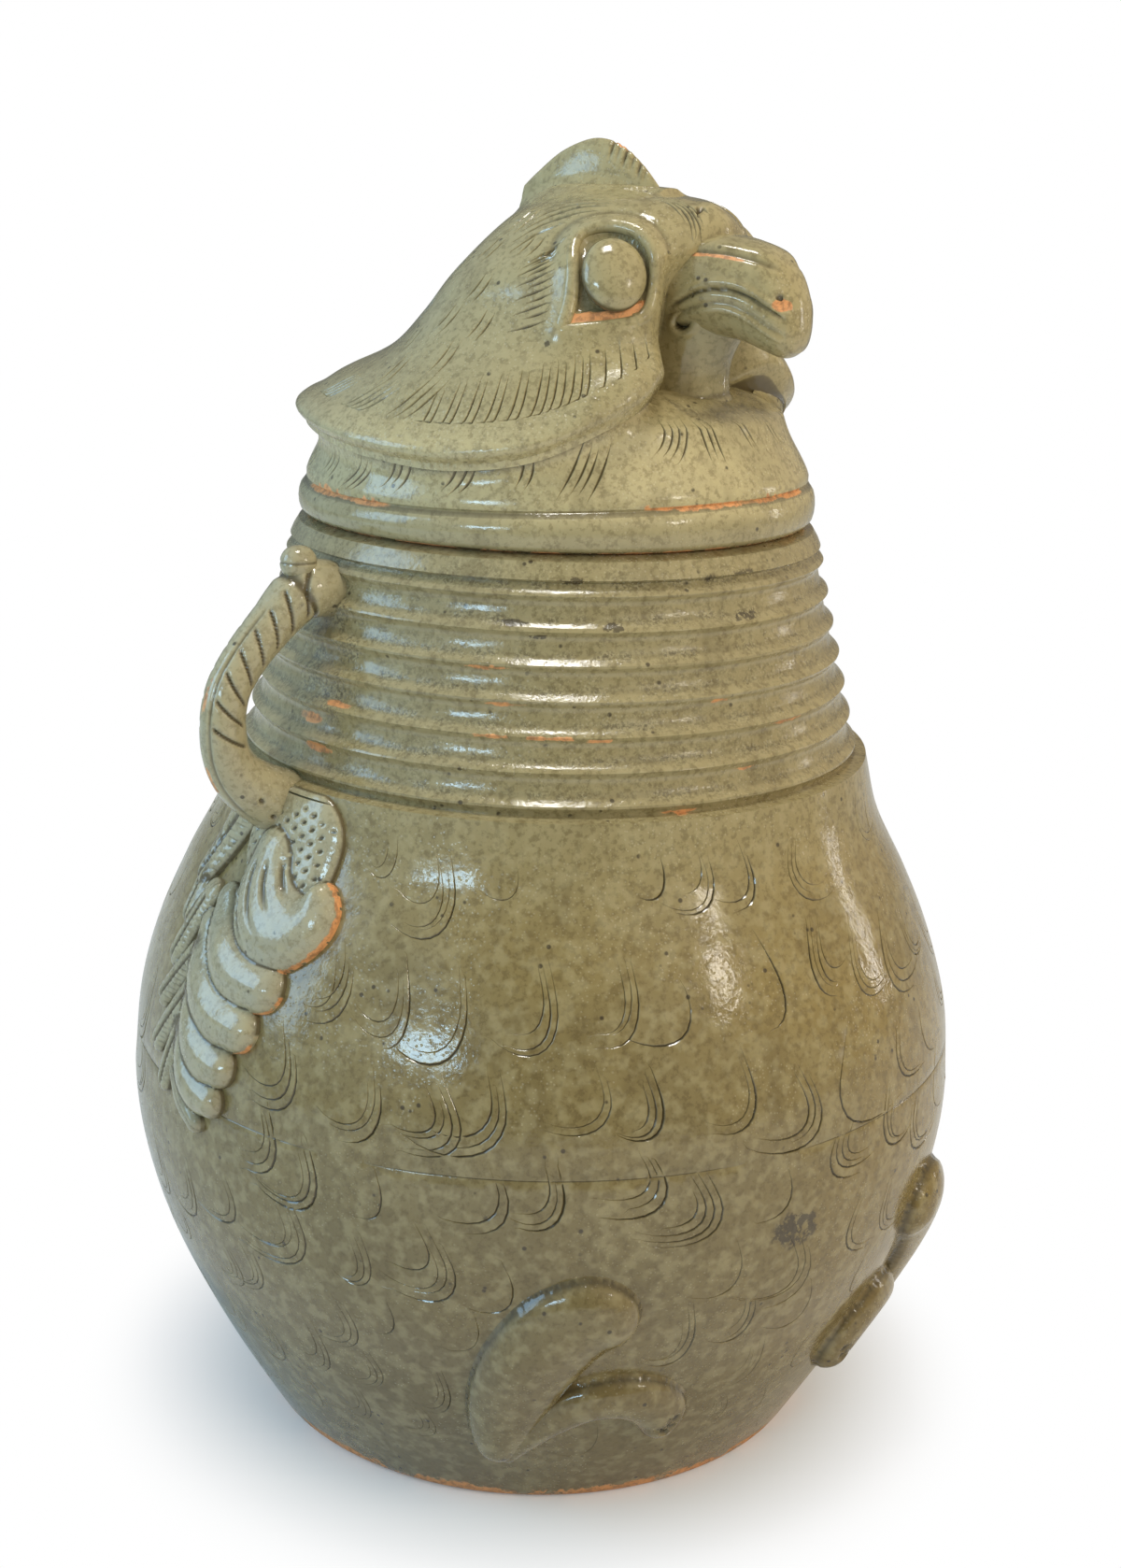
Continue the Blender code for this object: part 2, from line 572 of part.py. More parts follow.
def wing(name, side, mat, grow=0.0):
    """The wing's relief as one rounded slab that follows the shoulder of the jar."""
    lobes = wing_lobes()
    centre = (WING_CENTRE_SHARES[0] * WING_WIDTH, WING_LOW_Z + WING_CENTRE_SHARES[1] * WING_HEIGHT)
    reach = []
    probes = np.linspace(WING_HEIGHT * 0.75, 0, 150)
    for turn in range(WING_TURNS):
        angle = 2 * math.pi * turn / WING_TURNS
        for probe in probes:
            u = centre[0] + probe * math.cos(angle)
            z = centre[1] + probe * math.sin(angle)
            if z < SHOULDER_Z and wing_height(lobes, u, z) > 0:
                reach.append(probe)
                break
    reach = [(reach[i - 1] + 2 * reach[i] + reach[(i + 1) % WING_TURNS]) / 4 for i in range(WING_TURNS)]
    floor = -OVERRUN

    def ring(share, under, push):
        points = []
        for turn, probe in enumerate(reach):
            angle = 2 * math.pi * turn / WING_TURNS
            u = centre[0] + (probe * share + push) * math.cos(angle)
            z = centre[1] + (probe * share + push) * math.sin(angle)
            height = floor if under else max(WING_EDGE, wing_height(lobes, u, z)) + grow
            points.append(on_body(side, WING_AZIMUTH_DEG, -u, z, height))
        return points

    rings = [ring(share, False, 0) for share in WING_RING_SHARES]
    rings.append(ring(1.0, False, grow))
    rings.append(ring(1.0, True, grow))
    rings.extend(ring(share, True, 0) for share in WING_UNDER_SHARES)
    top = on_body(side, WING_AZIMUTH_DEG, -centre[0], centre[1], wing_height(lobes, *centre) + grow)
    bottom = on_body(side, WING_AZIMUTH_DEG, -centre[0], centre[1], floor)
    group = "lidded_bird_jar" if grow == 0 else "cutters"
    return loft(name, top, rings, bottom, mat, group)


def handle_line():
    """The carrying loop's centre line as rows of (distance from the axis, height, radius)."""
    rows = chain(HANDLE_SHARES, HANDLE_POINTS)
    neck = neck_radius(HANDLE_TOP_Z)
    out = neck + (HANDLE_REACH + neck_radius(HANDLE_LOW_Z) - neck) * rows[:, 0] - GAP
    top = HANDLE_TOP_Z
    heights = HANDLE_LOW_Z + (top - HANDLE_LOW_Z) * rows[:, 1]
    return np.stack([out, heights, rows[:, 2] * HANDLE_RADIUS], axis=1)


def handle(name, side, mat, grow=0.0):
    """One carrying loop, standing out from the neck over the wing."""
    rows = handle_line()
    azimuth = side * math.radians(HANDLE_AZIMUTH_DEG)
    points = [(out * math.sin(azimuth), -out * math.cos(azimuth), z) for out, z, _ in rows]
    radii = [radius + grow for _, _, radius in rows]
    group = "lidded_bird_jar" if grow == 0 else "cutters"
    return tube(name, points, radii, False, mat, group)


def ball(name, centre, axes, sizes, mat, group="lidded_bird_jar"):
    """An egg-shaped lump with its three half sizes along the given directions."""
    form = bmesh.new()
    bmesh.ops.create_uvsphere(form, u_segments=18, v_segments=10, radius=1)
    frame = Matrix([axis.normalized() * size for axis, size in zip(axes, sizes)]).transposed()
    for vert in form.verts:
        vert.co = frame @ vert.co + Vector(centre)
    bmesh.ops.recalc_face_normals(form, faces=form.faces)
    mesh = bpy.data.meshes.new(name)
    form.to_mesh(mesh)
    form.free()
    shade(mesh)
    return link(name, mesh, mat, group)


def head_key(azimuth_deg):
    """The head's key outline at an azimuth, as (radius, height) from the ruff to the crown."""
    angle = abs((azimuth_deg + 180) % 360 - 180)
    knots = [row[0] for row in HEAD_SHARES]
    tables = [row[1] for row in HEAD_SHARES]
    knots = [-knots[1]] + knots + [2 * knots[-1] - knots[-2]]
    tables = [tables[1]] + tables + [tables[-2]]
    points = []
    for station in range(len(tables[0])):
        radius = float(smooth(knots, [table[station][0] for table in tables], angle))
        height = float(smooth(knots, [table[station][1] for table in tables], angle))
        points.append((radius * RUFF_RADIUS, RUFF_Z + height * HEAD_HEIGHT))
    points.append((0.0, RUFF_Z + HEAD_HEIGHT))
    return points


def head_outline(azimuth_deg):
    """The head's outline with more points between its key places, without the crown's point."""
    key = head_key(azimuth_deg)
    knots = np.arange(len(key))
    at = []
    for station, steps in enumerate(HEAD_STEPS_PER_STATION):
        at.extend(station + step / steps for step in range(steps))
    radii = smooth(knots, [point[0] for point in key], at)
    heights = smooth(knots, [point[1] for point in key], at)
    return np.stack([radii, heights], axis=1)


def head_normals(outline):
    """Outward directions along one outline of the head."""
    closed = np.vstack([outline, (0.0, RUFF_Z + HEAD_HEIGHT)])
    run = np.gradient(closed, axis=0)[:-1]
    run /= np.linalg.norm(run, axis=1)[:, None]
    return np.stack([run[:, 1], -run[:, 0]], axis=1)


def head_radius(azimuth_deg, z):
    """Distance of the head's surface from its axis at an azimuth and a height."""
    outline = head_outline(azimuth_deg)[2:]
    return float(np.interp(z, outline[:, 1], outline[:, 0]))


def round_point(azimuth_deg, radius, z):
    """A point at an azimuth counted from the beak towards the bird's left."""
    angle = math.radians(azimuth_deg)
    return (radius * math.sin(angle), -radius * math.cos(angle), z)


def head_turns():
    """All azimuths of the head's outlines, once round."""
    half = list(HEAD_AZIMUTHS_DEG)
    return half + [-angle for angle in reversed(half[1:-1])]


def head(name, mat):
    """The hollow head with its flaring ruff."""
    turns = head_turns()
    outlines = [head_outline(angle) for angle in turns]
    count = len(outlines[0])
    rings = []
    for row in reversed(range(count)):
        rings.append([round_point(a, *line[row]) for a, line in zip(turns, outlines)])
    hollow = [line - head_normals(line) * HEAD_WALL for line in outlines]
    sill = RUFF_Z + HEAD_INNER_DROP
    first = next(row for row in range(count) if all(line[row][1] > sill for line in hollow))
    first = max(first, RUFF_STATIONS)
    rings.append([round_point(a, line[first][0], sill) for a, line in zip(turns, hollow)])
    for row in range(first, count - 1, 2):
        rings.append([round_point(a, *line[row]) for a, line in zip(turns, hollow)])
    top = RUFF_Z + HEAD_HEIGHT
    return loft(name, (0, 0, top), rings, (0, 0, top - HEAD_WALL), mat)


def head_cutter(name):
    """The head's outer form, a clearance larger and solid, for what is luted onto it."""
    turns = head_turns()
    outlines = [head_outline(angle) for angle in turns]
    rings = []
    for row in reversed(range(len(outlines[0]))):
        rings.append([round_point(a, *line[row]) for a, line in zip(turns, outlines)])
    top = RUFF_Z + HEAD_HEIGHT
    return loft(name, (0, 0, top), rings, (0, 0, RUFF_Z), None, "cutters", GAP)


def crest(name, mat):
    """The comb that stands along the crown."""
    rings = []
    crown = RUFF_Z + HEAD_HEIGHT
    for along, rise, thickness in CREST_SHARES:
        y = CREST_BACK - CREST_LENGTH * along
        half = CREST_THICKNESS / 2 * thickness
        top = crown + CREST_RISE * rise
        base = crown - CREST_ROOT
        ring = []
        for step in range(10):
            angle = 2 * math.pi * step / 10
            lift = (1 + math.cos(angle)) / 2
            narrow = 1 - 0.55 * lift
            ring.append((half * math.sin(angle) * narrow, y, base + (top - base) * lift))
        rings.append(ring)
    base = crown - CREST_ROOT * 0.5
    return loft(name, (0, CREST_BACK, base), rings, (0, CREST_BACK - CREST_LENGTH, base), mat)


def beak(name, mat, grow=0.0):
    """The closed beak, blunt and hooked over at its tip."""
    rings = []
    rows = chain(BEAK_SHARES, 12)
    for along, middle, half_height, half_width in rows:
        y = -(BEAK_START + BEAK_REACH * along)
        z = BEAK_BASE_Z + BEAK_HEIGHT * middle
        ring = []
        for step in range(16):
            angle = 2 * math.pi * step / 16
            side = math.copysign(abs(math.sin(angle)) ** BEAK_SQUARENESS, math.sin(angle))
            rise = math.copysign(abs(math.cos(angle)) ** BEAK_SQUARENESS, math.cos(angle))
            x = (BEAK_WIDTH * half_width + grow) * side
            ring.append((x, y, z + (BEAK_HEIGHT * half_height + grow) * rise))
        rings.append(ring)
    tip = (0, -(BEAK_START + BEAK_REACH + grow), BEAK_BASE_Z + BEAK_HEIGHT * BEAK_TIP_SHARE)
    start = (0, -BEAK_START, BEAK_BASE_Z + BEAK_HEIGHT * BEAK_SHARES[0][1])
    group = "lidded_bird_jar" if grow == 0 else "cutters"
    return loft(name, start, rings, tip, mat, group)


def throat(name, mat):
    """The round throat that comes down from the beak to the collar."""
    points = []
    radii = []
    for share in np.linspace(0, 1, 9):
        bow = math.sin(share * math.pi) * THROAT_RADIUS * 0.14
        points.append((0, -(THROAT_REACH - bow), THROAT_TOP_Z + (THROAT_LOW_Z - THROAT_TOP_Z) * share))
        radii.append(THROAT_RADIUS * (0.94 + 0.10 * share ** 3))
    return tube(name, points, radii, False, mat)


def eye_frame(side):
    """Centre of an eye on the head's surface and its across, up and outward directions."""
    azimuth = side * EYE_AZIMUTH_DEG
    step = 2.0
    radius = head_radius(azimuth, EYE_Z)
    centre = Vector(round_point(azimuth, radius, EYE_Z))
    reach = EYE_HEIGHT / 2
    up = Vector(round_point(azimuth, head_radius(azimuth, EYE_Z + reach), EYE_Z + reach))
    up -= Vector(round_point(azimuth, head_radius(azimuth, EYE_Z - reach), EYE_Z - reach))
    fore = Vector(round_point(azimuth + step, head_radius(azimuth + step, EYE_Z), EYE_Z))
    fore -= Vector(round_point(azimuth - step, head_radius(azimuth - step, EYE_Z), EYE_Z))
    up.normalize()
    out = fore.cross(up).normalized()
    across = up.cross(out).normalized()
    return centre, across, up, out


def eye(name, side, mat, grow=0.0):
    """The eyeball, half sunk in its socket."""
    centre, across, up, out = eye_frame(side)
    sizes = (EYE_WIDTH / 2 + grow, EYE_HEIGHT / 2 + grow, EYE_DEPTH / 2 + grow)
    group = "lidded_bird_jar" if grow == 0 else "cutters"
    return ball(name, centre, (across, up, out), sizes, mat, group)


def eyelid(name, side, mat):
    """The raised almond rim round the eye."""
    rows = list(EYELID_SHARES) + [EYELID_SHARES[0]]
    line = chain(rows, 19)[:-1]
    mid = head_radius(side * EYE_AZIMUTH_DEG, EYE_Z)
    points = []
    for across, up in line:
        z = EYE_Z + up * EYELID_HEIGHT
        azimuth = side * (EYE_AZIMUTH_DEG + math.degrees(across * EYELID_WIDTH / mid))
        points.append(round_point(azimuth, head_radius(azimuth, z) + GAP, z))
    radii = [EYELID_THICKNESS / 2] * len(points)
    return tube(name, points, radii, True, mat)


def main():
    clear_scene()
    glaze = material("celadon_glaze", GLAZE, GLAZE_ROUGHNESS)
    shadow = material("pooled_glaze", GLAZE_DARK, GLAZE_ROUGHNESS)
    pale = material("thin_glaze", GLAZE_PALE, GLAZE_ROUGHNESS)

    turned("jar_body", jar_profile(), False, glaze)
    outer = [(radius + GAP, z) for radius, z in jar_outer()]
    solid = [(0, LIP_Z + GAP)] + outer + [(0, 0)]
    jar_form = as_cutter(turned("jar_form", solid, False, None, "cutters"))

    for label, side in (("right", -1), ("left", 1)):
        relief = wing("wing_" + label, side, pale)
        cut(relief, jar_form)
        wing_form = as_cutter(wing("wing_form_" + label, side, None, GAP))
        thigh_form = as_cutter(
            limb("thigh_form_" + label, side, THIGH_SHARES, THIGH_HALF_WIDTH, THIGH_RELIEF, None, GAP))
        thigh = limb("thigh_" + label, side, THIGH_SHARES, THIGH_HALF_WIDTH, THIGH_RELIEF, glaze)
        cut(thigh, jar_form)
        shin = limb("shin_" + label, side, SHIN_SHARES, SHIN_HALF_WIDTH, SHIN_RELIEF, glaze)
        cut(shin, jar_form, thigh_form)
        loop = handle("handle_" + label, side, pale)
        cut(loop, jar_form, wing_form)
        loop_form = as_cutter(handle("handle_form_" + label, side, None, GAP))
        out = neck_radius(HANDLE_TOP_Z) + BUD_OUT
        azimuth = side * math.radians(HANDLE_AZIMUTH_DEG)
        spot = (out * math.sin(azimuth), -out * math.cos(azimuth), HANDLE_TOP_Z + BUD_LIFT)
        ways = (Vector((1, 0, 0)), Vector((0, 1, 0)), Vector((0, 0, 1)))
        bud = ball("handle_bud_" + label, spot, ways, (BUD_RADIUS, BUD_RADIUS, BUD_RISE), pale)
        cut(bud, loop_form)

    lid_axis = bpy.data.objects.new("lid_axis", None)
    collection("guides").objects.link(lid_axis)
    lid_axis.location = (0, 0, SEAT_Z)
    lid_axis.rotation_euler = (0, 0, math.radians(LID_TURN_DEG))

    collar = turned("lid_collar", collar_profile(), True, glaze)
    fat = [(0, BAND_HEIGHT + DOME_RISE + GAP)] + collar_outer(GAP) + [(0, 0)]
    collar_form = as_cutter(turned("collar_form", fat, False, None, "cutters"))
    head_form = as_cutter(head_cutter("head_form"))
    beak_form = as_cutter(beak("beak_form", None, GAP))
    skull = head("head", glaze)
    cut(skull, collar_form)
    comb = crest("crest", pale)
    cut(comb, head_form)
    bill = beak("beak", pale)
    cut(bill, head_form)
    neck = throat("throat", glaze)
    cut(neck, head_form, beak_form, collar_form)
    lid_pieces = [collar, collar_form, head_form, beak_form, skull, comb, bill, neck]
    for label, side in (("right", -1), ("left", 1)):
        eye_form = as_cutter(eye("eye_form_" + label, side, None, GAP))
        globe = eye("eye_" + label, side, shadow)
        cut(skull, eye_form)
        rim = eyelid("eyelid_" + label, side, pale)
        cut(rim, head_form, eye_form)
        lid_pieces.extend((eye_form, globe, rim))
    for item in lid_pieces:
        item.parent = lid_axis


main()
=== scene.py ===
"""The looks of the lidded stoneware bird jar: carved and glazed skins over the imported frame.

Metres, +Z up, in the frame's own axes: the bird looks along -Y, its right side is at -X and its
left side at +X. The lid's forms are drawn about its own axis and turned with it. A side is -1 for
the bird's right and 1 for its left. Azimuths run from the breast towards the bird's left.
"""
import math
import random

import bmesh
import bpy
import numpy as np
from mathutils import Matrix, Vector
from mathutils.geometry import delaunay_2d_cdt
from mathutils.kdtree import KDTree


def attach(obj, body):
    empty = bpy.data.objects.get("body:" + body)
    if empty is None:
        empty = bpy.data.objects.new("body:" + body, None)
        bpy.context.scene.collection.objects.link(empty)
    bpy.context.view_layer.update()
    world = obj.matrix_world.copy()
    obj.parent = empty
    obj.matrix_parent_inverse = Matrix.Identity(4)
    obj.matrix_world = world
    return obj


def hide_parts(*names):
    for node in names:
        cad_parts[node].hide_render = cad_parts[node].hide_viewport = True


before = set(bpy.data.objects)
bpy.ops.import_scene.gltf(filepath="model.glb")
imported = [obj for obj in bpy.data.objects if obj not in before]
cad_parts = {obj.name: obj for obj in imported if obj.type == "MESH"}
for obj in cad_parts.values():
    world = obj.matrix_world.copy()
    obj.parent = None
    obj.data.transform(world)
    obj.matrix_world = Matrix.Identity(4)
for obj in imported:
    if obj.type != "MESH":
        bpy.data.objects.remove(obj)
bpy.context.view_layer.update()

# Points round every turned form, the distance at which points are joined, the step of outlines
# and the least length that is divided by.
AROUND = 240
WELD_DISTANCE = 0.00002
CONTOUR_STEP = 0.0010
TINY = 1e-12

# The turned jar, as the frame has it.
FOOT_RADIUS = 0.1068
FOOT_RING_WIDTH = 0.018
FOOT_RECESS = 0.004
FOOT_ROUND = 0.0022
FOOT_STEP = 0.0001
FLOOR_THICKNESS = 0.010
FLOOR_MIDDLE = 0.04
BELLY_RADIUS = 0.1580
BELLY_Z = 0.137
BELLY_MESH = 0.0042
BELLY_TOP_GAP = 0.0006
SHOULDER_RADIUS = 0.1189
SHOULDER_Z = 0.262
SHOULDER_SHARES = ((0.0, 0.0), (0.22, 0.07), (0.42, 0.25), (0.62, 0.53), (0.82, 0.855), (1.0, 1.0))
JAR_WALL = 0.0078

# The neck, its ribs and the mouth.
NECK_BASE_RADIUS = 0.1160
NECK_TOP_RADIUS = 0.0983
NECK_HEIGHT = 0.075
NECK_STEP = 0.0002
RIB_COUNT = 7
RIB_STEPS = 14
RIB_DEPTH = 0.0027
RIB_WIDTH = 0.0074
RIB_CREST = 0.17
LIP_HEIGHT = 0.0087
LIP_TOP_WIDTH = 0.005
MOUTH_RADIUS = 0.083
MOUTH_DEPTH = 0.016
MOUTH_ROUND = 0.0008
RIB_PITCH = (NECK_HEIGHT - RIB_WIDTH) / (RIB_COUNT - 1)
NECK_TOP_Z = SHOULDER_Z + NECK_HEIGHT
LIP_Z = NECK_TOP_Z + LIP_HEIGHT
SEAT_Z = LIP_Z + 0.0003
LIP_RADIUS = MOUTH_RADIUS + 0.00075 + LIP_TOP_WIDTH

# The lip as rows of radius, height, pool, wear and ash, and the foot as rows of radius and height.
LIP_ROWS = ((NECK_TOP_RADIUS - 0.0006, NECK_TOP_Z + 0.0012, 0, 0.2, 0.3),
            (NECK_TOP_RADIUS - 0.0016, LIP_Z - LIP_HEIGHT * 0.60, 0, 0, 0.3),
            (LIP_RADIUS + (NECK_TOP_RADIUS - LIP_RADIUS) * 0.62, LIP_Z - LIP_HEIGHT * 0.22, 0, 0, 0.2),
            (LIP_RADIUS, LIP_Z, 0, 0.4, 0))
FOOT_LINE = ((FOOT_RADIUS - FOOT_ROUND * 0.3, FOOT_ROUND * 0.3), (FOOT_RADIUS - FOOT_ROUND, 0),
             (FOOT_RADIUS - FOOT_RING_WIDTH, 0), (FOOT_RADIUS - FOOT_RING_WIDTH - FOOT_RECESS, FOOT_RECESS),
             (FLOOR_MIDDLE, FOOT_RECESS), (0, FOOT_RECESS))

# The lid's collar, with heights above the seat.
LID_TURN_DEG = 15
FLANGE_RADIUS = MOUTH_RADIUS - 0.0015
FLANGE_DEPTH = 0.014
FLANGE_THICKNESS = 0.006
RING_RADIUS = 0.0945
RING_HEIGHT = 0.0100
RING_ROUND = 0.0020
RING_GROOVE = 0.0025
BAND_BASE_RADIUS = 0.0928
BAND_TOP_RADIUS = 0.0812
BAND_HEIGHT = 0.0390
BAND_FOOT_Z = RING_HEIGHT + RING_GROOVE
BAND_WAVE = 0.0005
BAND_FOOT_DIP = 0.0012
BAND_STEPS = 18
BAND_MESH = 0.0026
GROOVE_Z = RING_HEIGHT + RING_GROOVE * 0.5
DOME_RISE = 0.0115
DOME_HOLE_RADIUS = 0.048
LID_WALL = 0.0075
RING_DRIFT = (0.0022, 0.0014, 0.0010)

# The groove, then the flange and the inside, as rows of radius, height, pool, wear, ash and drift.
GROOVE_ROWS = ((BAND_BASE_RADIUS - 0.0016, BAND_FOOT_Z - 0.0006, 0.3, 0, 0.2, 1),
               (RING_RADIUS - RING_GROOVE, GROOVE_Z, 0.5, 0, 0.2, 1),
               (RING_RADIUS - RING_GROOVE + 0.0008, RING_HEIGHT, 0.3, 0, 0.2, 1))
FLANGE_ROWS = ((RING_RADIUS - 0.0034, 0, 0.4, 0.9), (FLANGE_RADIUS, 0, 0, 1),
               (FLANGE_RADIUS, 0.0010 - FLANGE_DEPTH, 0, 1), (FLANGE_RADIUS - 0.0014, -FLANGE_DEPTH, 0, 1),
               (FLANGE_RADIUS - FLANGE_THICKNESS, -FLANGE_DEPTH, 0, 1),
               (FLANGE_RADIUS - FLANGE_THICKNESS, RING_HEIGHT, 0, 1),
               (BAND_TOP_RADIUS - LID_WALL, BAND_HEIGHT - LID_WALL, 0, 1),
               (DOME_HOLE_RADIUS + LID_WALL, BAND_HEIGHT + DOME_RISE * 0.75 - LID_WALL, 0, 1),
               (DOME_HOLE_RADIUS, BAND_HEIGHT + DOME_RISE - LID_WALL, 0, 1))

# The fillet from the dome to the hood's edge, and the painted shade under that edge as gap and width.
HOOD_FILLET = 0.008
HOOD_FILLET_GAP = 0.0006
HOOD_FILLET_WIDTHS = (0.0050, 0.0015)
HOOD_SHADE = (0.0002, 0.0022)

# The head: key outlines as azimuth and (share of the radius, share of the height) up to the crown.
RUFF_RADIUS = 0.095
RUFF_Z = 0.0265
HEAD_HEIGHT = 0.0895
HEAD_WALL = 0.0090
HEAD_INNER_DROP = 0.012
HEAD_SHARES = (
    (0, ((0.520, 0.207), (0.536, 0.229), (0.536, 0.307), (0.538, 0.397),
         (0.550, 0.508), (0.600, 0.654), (0.718, 0.821), (0.579, 0.966))),
    (20, ((0.575, 0.207), (0.595, 0.235), (0.585, 0.307), (0.590, 0.397),
          (0.608, 0.497), (0.642, 0.631), (0.710, 0.804), (0.547, 0.961))),
    (28, ((0.770, 0.300), (0.800, 0.345), (0.775, 0.405), (0.745, 0.460),
          (0.726, 0.531), (0.716, 0.654), (0.702, 0.804), (0.516, 0.955))),
    (35, ((0.846, 0.222), (0.876, 0.285), (0.845, 0.360), (0.797, 0.420),
          (0.758, 0.508), (0.721, 0.642), (0.682, 0.788), (0.474, 0.950))),
    (45, ((0.900, 0.142), (0.930, 0.210), (0.892, 0.295), (0.821, 0.384),
          (0.763, 0.486), (0.716, 0.620), (0.658, 0.771), (0.432, 0.939))),
    (60, ((0.938, 0.030), (0.968, 0.105), (0.932, 0.208), (0.842, 0.322),
          (0.758, 0.441), (0.695, 0.581), (0.611, 0.737), (0.358, 0.922))),
    (75, ((0.954, -0.014), (0.984, 0.062), (0.937, 0.184), (0.842, 0.300),
          (0.747, 0.419), (0.658, 0.553), (0.558, 0.715), (0.316, 0.905))),
    (100, ((0.965, 0.000), (0.995, 0.072), (0.944, 0.178), (0.832, 0.278),
           (0.716, 0.397), (0.611, 0.536), (0.495, 0.693), (0.263, 0.888))),
    (130, ((0.970, 0.056), (1.000, 0.128), (0.937, 0.214), (0.800, 0.287),
           (0.647, 0.380), (0.532, 0.514), (0.411, 0.676), (0.200, 0.883))),
    (180, ((0.970, 0.084), (1.000, 0.155), (0.945, 0.217), (0.800, 0.286),
           (0.637, 0.374), (0.516, 0.508), (0.389, 0.676), (0.179, 0.888))),
)
# Steps of an outline, the step where the hood turns down, and the flat drawing with its meshes.
HEAD_STEPS = 100
HOOD_STEP = 87
HEAD_PLAN_RADIUS = 0.150
HEAD_PLAN_EDGE = 0.0012
HEAD_MESH = 0.0027
FACE_MESH = 0.0015
HEAD_CUT_LOW_Z = 0.030
HOOD_EDGE_ROUND = 0.0012
# The hood's folds as soft bumps: place from the crown to the edge, width and height.
RUFF_FOLDS = ((0.865, 0.055, -0.0019), (0.947, 0.016, 0.0007), (0.985, 0.014, -0.0012))
RUFF_FADE_DEG = (38, 60)
BROW_PLACE = (-0.0615, 0.105)
BROW_SIZE = (0.0085, 0.012)
BROW_RISE = 0.0016

# The comb, with its shares as rows of place, rise and thickness. Nicks are soft bumps.
CREST_LENGTH = 0.0605
CREST_RISE = 0.017
CREST_BACK = 0.0195
CREST_THICKNESS = 0.017
CREST_ROOT = 0.012
CREST_TOP_GAP = 0.0003
CREST_SHARES = ((0.03, 0.03, 0.35), (0.12, 0.29, 0.62), (0.28, 0.70, 0.86), (0.45, 0.95, 1.00),
                (0.58, 1.00, 0.98), (0.72, 0.86, 0.86), (0.86, 0.50, 0.66), (0.97, 0.10, 0.38))
CREST_NICK_DEPTH = 0.0010
CREST_NICKS = tuple((place, 0.0085, deep) for place, deep in (
    (0.665, 0.8), (0.71, 0.5), (0.755, 1.0), (0.805, 0.6), (0.85, 0.9), (0.89, 0.4)))
CREST_FILLET = 0.0022
CREST_FILLET_WIDTH = 0.0042
CREST_FILLET_END = 0.004
CREST_FILLET_Z = 0.095

# The beak: sections as place, middle, half height and half width, then its blunt tip.
BEAK_START = 0.050
BEAK_REACH = 0.0495
BEAK_HEIGHT = 0.0395
BEAK_WIDTH = 0.0400
BEAK_BASE_Z = 0.0640
BEAK_SHARES = ((0.00, 0.56, 0.42, 0.48), (0.22, 0.55, 0.43, 0.50), (0.42, 0.535, 0.435, 0.49),
               (0.60, 0.50, 0.43, 0.43), (0.76, 0.43, 0.43, 0.37), (0.88, 0.34, 0.38, 0.31),
               (0.96, 0.27, 0.26, 0.23))
BEAK_TIP = ((0.985, 0.268, 0.17, 0.145), (0.997, 0.262, 0.08, 0.065))
# The beak's lines as shares of its reach against heights over the seat, with widths and depths.
MOUTH_LINE = ((0.0, 0.20, 0.40, 0.55, 0.70, 0.85, 1.0),
              (0.0745, 0.0790, 0.0838, 0.0848, 0.0832, 0.0790, 0.0740))
LIP_LINE = (MOUTH_LINE[0], (0.0735, 0.0758, 0.0792, 0.0802, 0.0780, 0.0732, 0.0690))
CULMEN_LINE = ((0.0, 0.25, 0.50, 0.75, 1.0), (0.0958, 0.0966, 0.0964, 0.0940, 0.0890))
MOUTH_WIDTH, MOUTH_CUT = 0.0008, 0.0013
SEAM_WIDTH, SEAM_CUT = 0.0009, 0.0006
CREASE_WIDTH, CREASE_CUT = 0.0008, 0.0007
# Swellings beside those lines and wear under the ridge, as soft bumps: distance, width and height.
MOUTH_SWELL = ((0.0022, 0.0013, 0.0008),)
LIP_SWELL = ((-0.0020, 0.0013, 0.0008),)
CULMEN_SWELL = ((0.0022, 0.0016, 0.0006),)
CULMEN_WEAR = ((-0.0009, 0.0006, 1.3),)
CERE_RISE = 0.0009
CERE_HEIGHTS = (0.076, 0.088)
# Holes in the beak: share of its reach, height, size, depth, side and bare clay.
BEAK_HOLES = ((0.905, 0.0832, 0.0010, 0.0020, -1, 0.0), (0.930, 0.0806, 0.0027, 0.0016, -1, 0.9))

# The throat. Spread, chin and folds are soft bumps down its length.
THROAT_RADIUS = 0.0170
THROAT_REACH = 0.0550
THROAT_LOW_Z = 0.0395
THROAT_TOP_Z = 0.0830
THROAT_SPREAD = ((0.12, 0.22, 0.085), (1.02, 0.14, 0.26))
THROAT_CHIN = ((0.28, 0.24, 0.30),)
THROAT_FOLDS = ((0.80, 0.022, 1), (0.88, 0.022, 1))
THROAT_FOLD_DEPTH = 0.0004
THROAT_WAVE = 0.0003
THROAT_LEAN = 0.0016
# The hole at each corner of the mouth: degrees round the throat from its back, height and size.
MOUTH_HOLE = (116, 0.0728, 0.0027)
MOUTH_HOLE_RIM = 0.0010
MOUTH_HOLE_DEPTH = 0.0045

